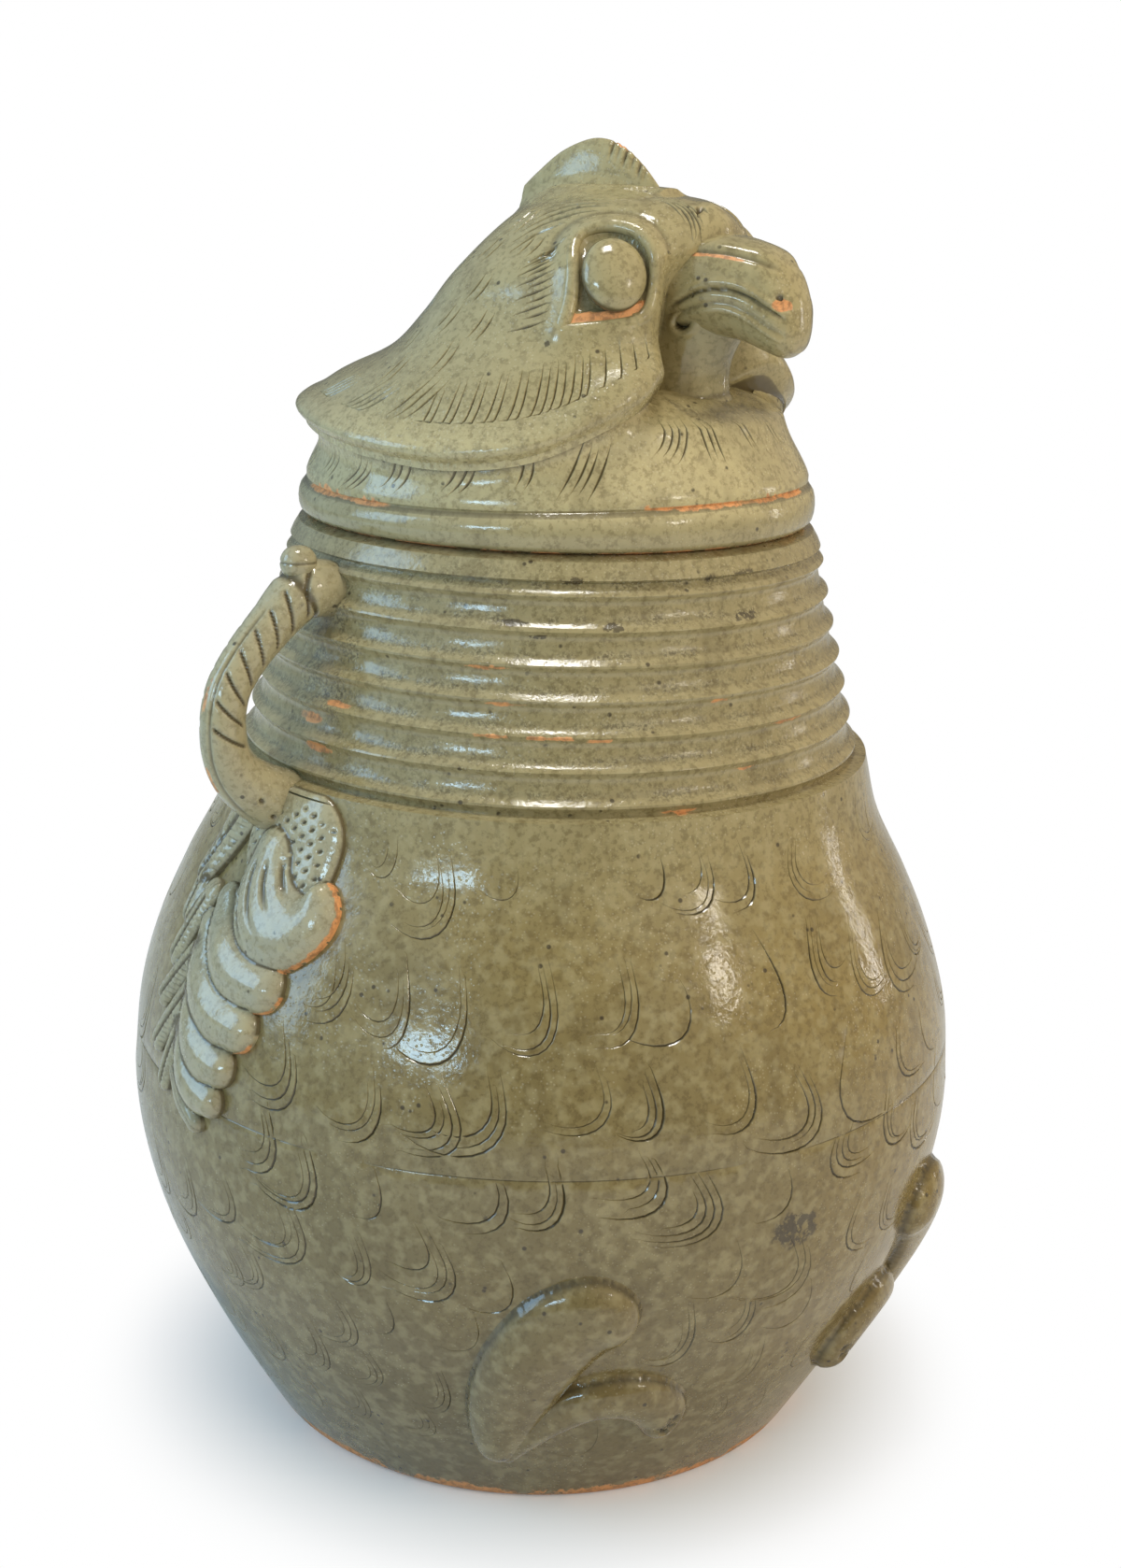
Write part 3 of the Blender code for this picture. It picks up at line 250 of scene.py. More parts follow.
# The eyes, their sockets and the rims round them.
EYE_AZIMUTH_DEG = 40.5
EYE_Z = 0.0890
EYEBALL_WIDTH = 0.0235 * 0.95
EYE_HEIGHT = 0.0252
EYE_DEPTH = 0.0125
EYELID_THICKNESS = 0.0054
EYELID_LIFT = 0.0001
EYELID_LOW = -0.0150
SOCKET_REACH = (0.034, 0.034, 0.016)
SOCKET_WALL = (0.0004, 0.0028)
SOCKET_DEPTH = 0.0038
SOCKET_EDGE = 0.0017
SOCKET_BANK = 0.0020
SOCKET_BANK_WIDTH = 0.0044
SILL_DROP = 0.0104
SILL_SLOPE = 0.35
SILL_FADE = 0.0014
SILL_RISE = 0.0024
SILL_WEAR = (0.0006, 0.0016)
FURROW_PLACE = 0.0060
FURROW_WIDTH = 0.0012
FURROW_DEPTH = 0.0006
FURROW_FADE = (0.004, 0.012)
RIM_POINTS = 60
RIM_GROWTH = 0.0011 / 0.015

# The rim round an eye, forward and up from its centre: the arch, then the sill below.
RIM_ARCH = ((-0.0180, -0.0170), (-0.0148, -0.0085), (-0.0134, -0.0010), (-0.0127, 0.0059), (-0.0116, 0.0115),
            (-0.0096, 0.0154), (-0.0066, 0.0179), (-0.0028, 0.0190), (0.0021, 0.0188), (0.0063, 0.0172),
            (0.0098, 0.0146), (0.0124, 0.0106), (0.0139, 0.0059), (0.0142, 0.0003), (0.0136, -0.0052),
            (0.0122, -0.0100), (0.0092, -0.0138))
RIM_SILL = ((0.0040, -0.0158), (-0.0035, -0.0165), (-0.0105, -0.0168))

# Lines cut round an eye, forward and up from its centre, each with its share of the usual width.
EYE_LINES = (
    (((-0.0285, 0.0175), (-0.0205, 0.0220), (-0.0115, 0.0242)), 1.1),
    (((-0.0265, 0.0222), (-0.0175, 0.0262), (-0.0084, 0.0274), (-0.0014, 0.0266)), 1.2),
    (((-0.0232, 0.0262), (-0.0140, 0.0296), (-0.0056, 0.0302), (0.0028, 0.0284)), 1.3),
    (((-0.0200, 0.0300), (-0.0126, 0.0324), (-0.0049, 0.0324), (0.0042, 0.0296)), 1.2),
    (((-0.0215, 0.0335), (-0.0130, 0.0352), (-0.0040, 0.0348), (0.0055, 0.0316)), 1.1),
    (((-0.0180, 0.0366), (-0.0090, 0.0375), (0.0010, 0.0358)), 0.9),
    (((0.0170, 0.0325), (0.0225, 0.0280), (0.0262, 0.0200)), 0.8),
    (((0.0195, 0.0330), (0.0250, 0.0272), (0.0280, 0.0200), (0.0285, 0.0130)), 0.8),
    (((0.0215, 0.0330), (0.0268, 0.0272), (0.0296, 0.0212), (0.0302, 0.0145)), 0.9),
    (((0.0240, 0.0326), (0.0288, 0.0268), (0.0314, 0.0200), (0.0320, 0.0135)), 0.9),
    (((0.0264, 0.0318), (0.0308, 0.0262), (0.0330, 0.0205)), 0.8),
    (((0.0320, 0.0225), (0.0327, 0.0250), (0.0345, 0.0262), (0.0358, 0.0250)), 2.2),
)

# The fringe of short feathers behind an eye: rim points where it starts, first and last lean,
# its distance from the rim and its length.
FRINGE_STARTS = tuple(2 + 1.5 * number for number in range(15))
FRINGE_LEANS_DEG = (-6, -24)
FRINGE_GAP = 0.0062
FRINGE_LENGTH = 0.0092

# The wings. A lobe has a kind, a relief, its edge's bare clay and rows of (forward, up, half width).
WING_AZIMUTH_DEG = 90
WING_WIDTH = 0.086
WING_HEIGHT = 0.122
WING_LOW_Z = SHOULDER_Z - WING_HEIGHT
WING_RELIEF = 0.0080
WING_EDGE = 0.0012
WING_FLOOR = 0.0008
WING_CREASE = 0.0008
WING_MESH = 0.00075
WING_SPAN = (-0.46, 0.62)
WING_LOW_SPACE = 0.006
WING_TOP_SPACE = 0.002
WING_TOP_GAP = 0.0008
WING_TOP_FADE = 0.004
WING_RING_GAP = 0.003
SLAB_SINK = 0.0030
WING_SHARES = (
    ("boss", 0.60, 1.4, ((0.02, 0.820, 0.165), (0.13, 0.860, 0.195), (0.23, 0.870, 0.170),
                         (0.27, 0.790, 0.130))),
    ("scroll", 1.00, 1.4, ((0.085, 0.805, 0.120), (0.095, 0.725, 0.160), (0.150, 0.660, 0.178),
                           (0.235, 0.625, 0.172), (0.325, 0.630, 0.140), (0.395, 0.668, 0.112),
                           (0.392, 0.722, 0.066))),
    ("lobe", 0.90, 0.8, ((-0.125, 0.640, 0.070), (-0.050, 0.560, 0.100), (0.100, 0.490, 0.120),
                         (0.285, 0.474, 0.100))),
    ("lobe", 0.88, 0.8, ((-0.180, 0.560, 0.070), (-0.100, 0.440, 0.105), (0.060, 0.366, 0.120),
                         (0.220, 0.352, 0.098))),
    ("lobe", 0.84, 0, ((-0.145, 0.420, 0.065), (-0.075, 0.315, 0.095), (0.040, 0.245, 0.108),
                       (0.158, 0.233, 0.088))),
    ("lobe", 0.78, 0, ((-0.145, 0.280, 0.060), (-0.070, 0.195, 0.082), (0.030, 0.140, 0.092),
                       (0.128, 0.129, 0.076))),
    ("tip", 0.55, 0, ((-0.128, 0.155, 0.040), (-0.058, 0.085, 0.056), (0.035, 0.041, 0.046))),
    ("feather", 0.55, 0, ((-0.140, 0.951, 0.090), (-0.279, 0.820, 0.100), (-0.384, 0.672, 0.070))),
    ("feather", 0.45, 0, ((-0.350, 0.764, 0.055), (-0.395, 0.560, 0.060))),
    ("feather", 0.48, 0, ((-0.256, 0.632, 0.060), (-0.373, 0.445, 0.062))),
    ("feather", 0.48, 0, ((-0.171, 0.503, 0.060), (-0.370, 0.325, 0.060))),
    ("feather", 0.45, 0, ((-0.157, 0.385, 0.060), (-0.340, 0.200, 0.058))),
    ("feather", 0.42, 0, ((-0.161, 0.275, 0.055), (-0.250, 0.100, 0.052))),
)
# The boss's pits: lean of their rows, pitch, half size and depth. Then the depths of other marks.
PIT_TURN_DEG = 38
PIT_PITCH = (0.0047, 0.0041)
PIT_SIZE = (0.0014, 0.0008)
PIT_DEPTH = 0.0011
BOSS_RIM = 0.0016
BOSS_SEAM = 0.0004
SCROLL_GROOVE = 0.0012
LOBE_FOLD = 0.0007
TIP_VEIN = 0.0006
FEATHER_VEIN = 0.0013
FEATHER_BARB = 0.0003

# The folded legs, with azimuths by side and rows of (forward, up, half width).
LEG_AZIMUTHS_DEG = {-1: 34.4, 1: 29}
LEG_WIDTH = 0.075
LEG_HEIGHT = 0.090
LEG_LOW_Z = 0.032
THIGH_HALF_WIDTH = 0.0170
THIGH_RELIEF = 0.0090
SHIN_HALF_WIDTH = 0.0095
SHIN_RELIEF = 0.0078
THIGH_SHARES = ((0.310, 0.090, 0.52), (0.300, 0.200, 0.72), (0.272, 0.370, 0.88),
                (0.198, 0.550, 0.97), (0.085, 0.695, 0.98), (-0.030, 0.765, 0.88), (-0.100, 0.765, 0.74))
SHIN_SHARES = ((0.265, 0.050, 0.50), (0.190, 0.160, 0.78), (0.070, 0.262, 0.84), (-0.064, 0.330, 0.84),
               (-0.205, 0.345, 0.92), (-0.330, 0.310, 1.06), (-0.412, 0.240, 1.10), (-0.418, 0.175, 0.78))
LIMB_MESH = 0.0011
LIMB_SPACE = 0.03
# The fillet round a limb: its width, the rise at its foot, the dip at its edge, and the pooled glaze with
# painted shade along its outline.
LIMB_FILLET = 0.0020
LIMB_FOOT_RISE = 0.0011
LIMB_FOOT_DIP = 0.0009
LIMB_POOL_AND_SHADE = ((-0.06, 0.10, 0.50), (-0.04, 0.34, 0.12))
# The dents of the toes and the line inside them, round the middle of the bird's foot.
FOOT_MIDDLE = (-0.0286, 0.0548)
TOE_RADIUS = 0.0072
TOE_TURNS_DEG = (8, 36, 64)
TOE_SIZE = 0.0018
TOE_DEPTH = 0.0030
TOE_LINE_WIDTH = 0.0006
TOE_LINE_DEPTH = 0.0006

# The carrying loops, as rows of (outward, up, thickness), and the buds on them.
HANDLE_RADIUS = 0.0082
HANDLE_REACH = 0.0235
HANDLE_TOP_Z = 0.3215
HANDLE_LOW_Z = 0.2560
HANDLE_AZIMUTH_DEG = 92
HANDLE_SHARES = ((-0.30, 1.05, 1.05), (-0.12, 1.07, 1.18), (0.08, 1.085, 1.24), (0.24, 1.06, 1.18),
                 (0.46, 0.945, 1.02), (0.76, 0.765, 0.94), (0.95, 0.59, 0.93), (1.00, 0.39, 0.97),
                 (0.93, 0.20, 1.06), (0.70, 0.05, 1.28), (0.38, -0.06, 1.50))
HANDLE_SEAM = 0.0005
HANDLE_KNOB = 0.0009
# Slanting cuts along the loops as shares of their length, and small pits as shares and turns.
HANDLE_CUTS = (0.17, 0.235, 0.30, 0.37, 0.44, 0.51, 0.58, 0.65)
HANDLE_CUT_WIDTH = 0.0011
HANDLE_CUT_DEPTH = 0.0012
HANDLE_CUT_SLANT = 0.0050
HANDLE_PITS = ((0.87, 0.30), (0.90, -0.10), (0.93, 0.55), (0.86, 2.70), (0.91, 3.30))
HANDLE_PIT_RADIUS = 0.0013
BUD_RADIUS = 0.0064
BUD_RISE = 0.0060
BUD_OUT = 0.0090
BUD_LIFT = 0.0150

# The potter's marks. Widths and depths of the cut lines, and how far the wall strays from round.
WOBBLE = 0.00018
CUT_WIDTH = 0.0011
CUT_DEPTH = 0.00045
GIRTH_LINE_Z = 0.1525
GIRTH_LINE_SWAY = 0.0012

# The feathers cut into the belly: rows as height, size and strength, then one hook's line.
STROKE_PITCH = 0.0265
STROKE_ROWS = ((0.2545, 0.024, 0.9), (0.2200, 0.029, 0.9), (0.1845, 0.028, 1.0), (0.1575, 0.027, 1.0),
               (0.1280, 0.028, 0.8), (0.1020, 0.026, 0.7), (0.0760, 0.026, 0.6), (0.0500, 0.024, 0.45))
STROKE_SHARES = ((0.00, 0.00), (0.10, -0.30), (0.15, -0.58), (0.08, -0.84), (-0.10, -0.98),
                 (-0.36, -1.00), (-0.64, -0.91), (-0.86, -0.76))
STROKE_PARTING = 0.004
STROKE_DROP = 0.005
STROKE_STEP = (0.0021, 0.0011)
# Where the hooks have to stay: over the foot, off the back seam, off wings, legs and shoulder.
STROKE_LOW_Z = 0.012
STROKE_SEAM = 0.002
STROKE_MARGIN = 0.0025
SHOULDER_MARGIN = 0.006
BARE_COLUMNS, BARE_ROWS = 360, 131

# Cut marks on the lid's band: azimuth, height over the seat, lean, length, lines, bend. Those
# behind BAND_SAME_DEG are made on both sides.
BAND_MARKS = (
    (-152, 0.0230, 28, 0.0120, 3, 0.10), (-134, 0.0225, 38, 0.0130, 3, 0.15),
    (-119, 0.0220, 32, 0.0130, 3, 0.10), (-106, 0.0200, 46, 0.0140, 3, 0.10),
    (-93, 0.0235, 30, 0.0130, 3, 0.15), (-78, 0.0225, 34, 0.0120, 3, 0.10),
    (-63, 0.0250, 14, 0.0120, 2, 0.12), (-52, 0.0265, 24, 0.0210, 4, 0.06),
    (-31, 0.0370, 20, 0.0160, 4, 0.30), (-19, 0.0355, -14, 0.0160, 3, 0.10),
    (-5, 0.0365, -34, 0.0180, 2, 0.10), (9, 0.0345, -40, 0.0150, 2, 0.10),
)
BAND_SAME_DEG = -25
BAND_CUT_GAP = 0.0033
BAND_CUT_STEP = 0.0006
BAND_CUT_LOW = 0.0015
BAND_CUT_TOP = 0.001

# Cut marks on the head, made on both sides, as groups of bend and rows of azimuth, height over the
# seat, lean, length, lines and gap between the lines.
HEAD_MARKS = (
    (0.10, tuple((*row, 2, 0.0036) for row in (
        (-83, 0.1050, 30, 0.0090), (-70, 0.0970, 38, 0.0080), (-93, 0.0950, 34, 0.0090),
        (-87, 0.0830, 30, 0.0090), (-81, 0.0710, 26, 0.0095), (-96, 0.0720, 30, 0.0100),
        (-89, 0.0600, 22, 0.0100), (-111, 0.0640, 26, 0.0100), (-105, 0.0550, 20, 0.0090),
        (-120, 0.0760, 30, 0.0090), (-128, 0.0620, 24, 0.0090), (-140, 0.0720, 24, 0.0090),
        (-150, 0.0850, 24, 0.0090), (-165, 0.0700, 20, 0.0090), (-112, 0.0900, 30, 0.0090),
        (-130, 0.0960, 30, 0.0080)))),
    (0.10, ((-150, 0.0560, 60, 0.0150, 3, 0.0030), (-125, 0.0480, 66, 0.0160, 4, 0.0028),
            (-108, 0.0470, 60, 0.0170, 4, 0.0032), (-92, 0.0480, 46, 0.0160, 3, 0.0036))),
    (0.12, tuple((*row, 2, 0.0027) for row in (
        (-86, 0.0425, 16, 0.0168), (-81, 0.0440, 16, 0.0185), (-76, 0.0450, 16, 0.0196),
        (-71, 0.0465, 16, 0.0190), (-66, 0.0480, 15, 0.0202), (-61, 0.0500, 15, 0.0202),
        (-57, 0.0518, 14, 0.0185), (-53, 0.0535, 14, 0.0196)))),
    (0.12, tuple((*row, 1, 0.0050) for row in (
        (-49, 0.0555, 12, 0.0165), (-45, 0.0575, 12, 0.0150), (-41, 0.0595, 10, 0.0140),
        (-37, 0.0610, 8, 0.0125), (-33, 0.0620, 6, 0.0100)))),
)

# Spots of each kind as azimuth, height, half turn in degrees and half height: on the neck, the
# belly and the head. Then bare stretches of the groove over the lid's ring.
NECK_SPOTS = {
    "ash": ((-88, 0.305, 12, 0.0300),),
    "iron": ((-36.4, 0.3379, 3.2, 0.0018), (-28.2, 0.3233, 3.2, 0.0018), (0.6, 0.3239, 4.2, 0.0016),
             (-48.0, 0.3240, 4.0, 0.0011), (-42.9, 0.3198, 2.4, 0.0011), (-7.4, 0.3374, 2.6, 0.0014),
             (0.7, 0.3387, 3.8, 0.0014), (120, 0.3233, 3.4, 0.0016), (-160, 0.3370, 4.0, 0.0015)),
    "wear": ((-91, 0.2830, 5, 0.0026), (-86, 0.2740, 6, 0.0022), (-52.0, 0.3095, 4.8, 0.0010),
             (-47.8, 0.2980, 4.8, 0.0010), (-50.0, 0.2877, 4.6, 0.0012), (-40.0, 0.2877, 5.6, 0.0011),
             (-31.0, 0.2870, 3.0, 0.0010), (-7.3, 0.2976, 2.8, 0.0010), (8.5, 0.2873, 5.0, 0.0010),
             (-17.4, 0.2628, 4.0, 0.0008), (-3.7, 0.2743, 3.6, 0.0010), (-82.5, 0.2901, 3.8, 0.0013),
             (60, 0.3095, 6.0, 0.0010), (100, 0.2877, 7.0, 0.0011), (160, 0.2980, 6.0, 0.0010),
             (-140, 0.2877, 7.0, 0.0011)),
}
BELLY_SPOTS = {"iron": ((-5.8, 0.1230, 4.6, 0.0085), (118, 0.1900, 3.4, 0.0070))}
HEAD_SPOTS = {"iron": ((-58, 0.0660, 1.6, 0.0013), (-31, 0.1000, 1.4, 0.0010), (-24, 0.0960, 1.2, 0.0009))}
RING_STREAKS = ((-110, 20), (-11, 34), (95, 20), (158, 12))
RING_STREAK_RISE = 0.0006
RING_STREAK_HALF = 0.0019
# Pool and ash across a rib as soft bumps, and the bare clay over the jar's foot.
RIB_POOL = ((-0.26, 0.09, 0.20),)
RIB_ASH = ((-0.27, 0.16, 0.8), (0.42, 0.14, 0.4))
FOOT_BARE_Z = 0.010
FOOT_BARE_FADE = 0.008

# Glaze and clay colours, in linear light. Each glaze has a warm, a cool and a deep one. The warm and the cool
# one are laid across the jar and lid as painted light: cool on the bird's right and warm on its left.
JAR_GLAZE = ((0.268, 0.188, 0.056), (0.190, 0.151, 0.068), (0.082, 0.055, 0.018))
LID_GLAZE = ((0.328, 0.252, 0.088), (0.248, 0.210, 0.112), (0.120, 0.088, 0.035))
THIN_GLAZE = ((0.410, 0.345, 0.186), (0.312, 0.292, 0.204), (0.160, 0.124, 0.058))
OLIVE_PALE = (0.395, 0.338, 0.182)
# Painted light: the lid's band is made paler to stand for the light that falls on it.
BAND_PAINTED_LIGHT = (0.570, 0.480, 0.255)
# Dark colours for glaze pooled in cuts and for painted shade in creases, hollows and under overhangs. The
# jar's one also gives the dark of the ash speckle.
POOLED_AND_SHADED = (0.040, 0.030, 0.014)
POOLED_AND_SHADED_LID = (0.085, 0.064, 0.030)
IRON = (0.028, 0.019, 0.013)
CLAY = (0.640, 0.290, 0.105)
# Places where the tint changes, the stretch of the drips, and the glaze's gloss and relief.
# How far either side of the middle the painted side light's tint goes from cool to warm.
SIDE_LIGHT_TINT_REACH = 0.13
DEEP_TINT_Z = (0.04, 0.22)
# The pale tint towards the top stands partly for light from above, a painted light, and partly for thinner
# glaze.
PALE_TINT_Z = (0.21, 0.28)
# Painted light: heights where the lid's band is made paler.
BAND_LIGHT_START = (0.352, 0.362)
BAND_LIGHT_END = (0.375, 0.395)
DRIP_SCALE = (85.0, 85.0, 8.0)
GLAZE_IOR = 1.55
BUMP_DISTANCE = 0.0012

# The studio: lamps as azimuth, height, size, radiance and tint, and whether they are mirrored.
LAMP_DISTANCE = 2.0
LAMP_AIM_Z = 0.22
LAMPS = (
    ("window", -71, 16, (0.55, 0.22), 17.0, (0.50, 0.78, 1.0), True),
    ("side_window", -121, 23, (0.90, 1.20), 4.6, (0.40, 0.70, 1.0), True),
    ("warm_lamp", 14, 24, (0.16, 0.30), 14.0, (1.0, 0.92, 0.80), True),
    ("strip", 68, 8, (0.05, 0.60), 14.0, (1.0, 0.95, 0.88), True),
    ("ceiling", -30, 86, (0.45, 0.45), 26.0, (1.0, 0.98, 0.94), True),
    ("cool_side", -112, 24, (1.8, 1.6), 0.7, (0.80, 0.92, 1.0), False),
    ("warm_front", 4, 30, (1.2, 1.0), 4.9, (1.0, 0.90, 0.74), False),
)
# The surround and its two soft glows: azimuth and height in degrees, level and tint.
WORLD_TINT = (0.86, 0.93, 1.0)
WORLD_LEVEL = 0.15
GLOWS = ((-128, 18, 0.62, (0.70, 0.87, 1.0)), (50, 30, 0.62, (1.0, 0.90, 0.72)))
GLOW_START = 0.1
FLOOR_COLOR = (0.76, 0.76, 0.75)
FLOOR_REACH = 6.0
FLOOR_FADE = (0.085, 0.185)

# The camera stands to the right of the bird's breast and looks a little down, as the photo does.
FRAME_HEIGHT = 1678
FOCAL_PIXELS = 2308
SENSOR = 36
CAMERA_TURN_DEG = -40
CAMERA_BACK = 0.795
CAMERA_UP = 0.4667
CAMERA_YAW_DEG = 0.32
CAMERA_PITCH_DEG = 15.82
CAMERA_ROLL_DEG = 1.67

# The first mark darkens the glaze: as glaze pooled in cut lines, grooves and pits, and as painted shade in
# creases, hollows, under overhangs and where parts meet.
MARKS = ("pool", "wear", "ash", "iron")


def smooth(knots, values, at):
    """A smooth curve through the values at the knots, read at the given places."""
    knots = np.asarray(knots, float)
    values = np.asarray(values, float)
    slopes = np.gradient(values, knots)
    at = np.clip(np.asarray(at, float), knots[0], knots[-1])
    cell = np.clip(np.searchsorted(knots, at, side="right") - 1, 0, len(knots) - 2)
    width = knots[cell + 1] - knots[cell]
    t = (at - knots[cell]) / width
    start = (2 * t ** 3 - 3 * t ** 2 + 1) * values[cell]
    end = (3 * t ** 2 - 2 * t ** 3) * values[cell + 1]
    leave = (t ** 3 - 2 * t ** 2 + t) * width * slopes[cell]
    arrive = (t ** 3 - t ** 2) * width * slopes[cell + 1]
    return start + end + leave + arrive


def chain(points, count):
    """A smooth line through rows of numbers, read at evenly spaced places."""
    knots = np.linspace(0, 1, len(points))
    at = np.linspace(0, 1, count)
    return np.stack([smooth(knots, column, at) for column in zip(*points)], axis=1)


def ramp(x, low, high):
    """0 before low, 1 after high and a soft step between."""
    t = np.clip((np.asarray(x, float) - low) / (high - low), 0, 1)
    return t * t * (3 - 2 * t)


def bell(offset, width):
    """1 at an offset of 0, falling softly to 0 within two or three widths."""
    return np.exp(-(offset / width) ** 2)


def bumps(at, rows):
    """The sum of soft bumps given as rows of (place, width, height)."""
    return sum(height * bell(at - place, width) for place, width, height in rows)


def full_turn(count):
    """Evenly spaced angles round a circle."""
    return np.linspace(0, 2 * math.pi, count, endpoint=False)


def front_angle(azimuth):
    """How far an azimuth is from the front, either way."""
    return np.abs((azimuth + math.pi) % (2 * math.pi) - math.pi)


def unit(vectors):
    """The same directions with a length of 1."""
    return vectors / np.maximum(np.linalg.norm(vectors, axis=1), TINY)[:, None]


def run_lengths(points):
    """How far along a line each of its points is."""
    return np.concatenate([[0], np.cumsum(np.linalg.norm(np.diff(points, axis=0), axis=1))])


def flat_tree(points):
    """A search tree over flat points."""
    tree = KDTree(max(1, len(points)))
    for index, (x, y) in enumerate(points):
        tree.insert((x, y, 0), index)
    tree.balance()
    return tree


class Skin:
    """Patches of triangles with their marks, kept as arrays until they are welded into a mesh."""

    def __init__(self):
        self.points = []
        self.faces = []
        self.marks = {name: [] for name in MARKS}
        self.count = 0

    def add(self, points, faces, **marks):
        """Add a patch. Marks are numbers, one for each point or one for all."""
        points = np.asarray(points, float)
        self.points.append(points)
        self.faces.append(np.asarray(faces, int) + self.count)
        for name in MARKS:
            value = np.broadcast_to(np.asarray(marks.get(name, 0.0), float), (len(points),))
            self.marks[name].append(value)
        self.count += len(points)

    def mesh(self, name, sharp_deg):
        """One closed mesh, with patches joined where their edges meet."""
        points = np.concatenate(self.points)
        faces = np.concatenate(self.faces)
        mesh = bpy.data.meshes.new(name)
        mesh.vertices.add(len(points))
        mesh.vertices.foreach_set("co", points.ravel())
        mesh.loops.add(3 * len(faces))
        mesh.loops.foreach_set("vertex_index", faces.ravel())
        mesh.polygons.add(len(faces))
        mesh.polygons.foreach_set("loop_start", np.arange(0, 3 * len(faces), 3))
        for mark in MARKS:
            layer = mesh.attributes.new(mark, "FLOAT", "POINT")
            layer.data.foreach_set("value", np.concatenate(self.marks[mark]))
        mesh.update()
        form = bmesh.new()
        form.from_mesh(mesh)
        bmesh.ops.remove_doubles(form, verts=form.verts, dist=WELD_DISTANCE)
        bmesh.ops.recalc_face_normals(form, faces=form.faces)
        form.to_mesh(mesh)
        form.free()
        mesh.shade_smooth()
        mesh.set_sharp_from_angle(angle=math.radians(sharp_deg))
        return mesh


def finish_piece(node, skin, mat, body, sharp_deg):
    """Show a skin in place of its node. A piece of the lid is turned and raised with the lid."""
    mesh = skin.mesh("glazed_" + node, sharp_deg)
    if body == "lid":
        turn = Matrix.Rotation(math.radians(LID_TURN_DEG), 4, "Z")
        mesh.transform(Matrix.Translation((0, 0, SEAT_Z)) @ turn)
    mesh.materials.append(mat)
    item = bpy.data.objects.new(mesh.name, mesh)
    bpy.context.scene.collection.objects.link(item)
    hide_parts(node)
    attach(item, body)


def grid_faces(rows, columns):
    """Triangles over rows of points, each row a closed ring."""
    i, j = np.meshgrid(np.arange(rows - 1), np.arange(columns), indexing="ij")
    a = i * columns + j
    b = i * columns + (j + 1) % columns
    c = a + columns
    d = b + columns
    return np.concatenate([np.stack([a, b, d], -1).reshape(-1, 3), np.stack([a, d, c], -1).reshape(-1, 3)])


def fan_faces(tip, ring):
    """Triangles from one point to a closed ring of points."""
    return np.stack([np.full(len(ring), tip), ring, np.roll(ring, -1)], -1)


def wobble(azimuth, z):
    """How far a hand-turned wall strays from a true circle at a place."""
    broad = np.sin(2 * azimuth + 31 * z) + 0.6 * np.sin(3 * azimuth - 57 * z + 1.1)
    return WOBBLE * (broad + 0.4 * np.sin(5 * azimuth + 140 * z))


def round_point(azimuth, radius, z):
    """Points at azimuths counted from the front towards the bird's left."""
    return np.stack([radius * np.sin(azimuth), -radius * np.cos(azimuth), z + 0 * azimuth], -1)


def paint(azimuth, z, spots):
    """Marks at places, from each kind's rows of azimuth, height, half turn and half height."""
    found = {}
    for kind, rows in spots.items():
        for middle_deg, middle_z, wide_deg, tall in rows:
            away = (np.degrees(azimuth) - middle_deg + 180) % 360 - 180
            share = np.clip(1.6 - 1.6 * np.hypot(away / wide_deg, (z - middle_z) / tall) ** 2, 0, 1)
            found[kind] = np.maximum(found.get(kind, 0), share)
    return found


def turned_patch(skin, rows, spots, drift=None):
    """Rows of (radius, height, pool, wear, ash, drift share) swept round the axis and added to a skin.

    The marks that a row leaves out are 0.
    """
    rows = np.array([(*row, 0, 0, 0, 0)[:6] for row in rows], float)
    turn = np.tile(full_turn(AROUND), len(rows))
    radius, height, pool, wear, ash, share = (np.repeat(column, AROUND) for column in rows.T)
    radius = np.where(radius == 0, 0, radius + wobble(turn, height))
    if drift is not None:
        height = height + share * drift(turn)
    marks = {"pool": pool, "wear": wear, "ash": ash}
    for kind, value in paint(turn, height, spots).items():
        marks[kind] = np.maximum(marks.get(kind, 0), value)
    skin.add(round_point(turn, radius, height), grid_faces(len(rows), AROUND), **marks)


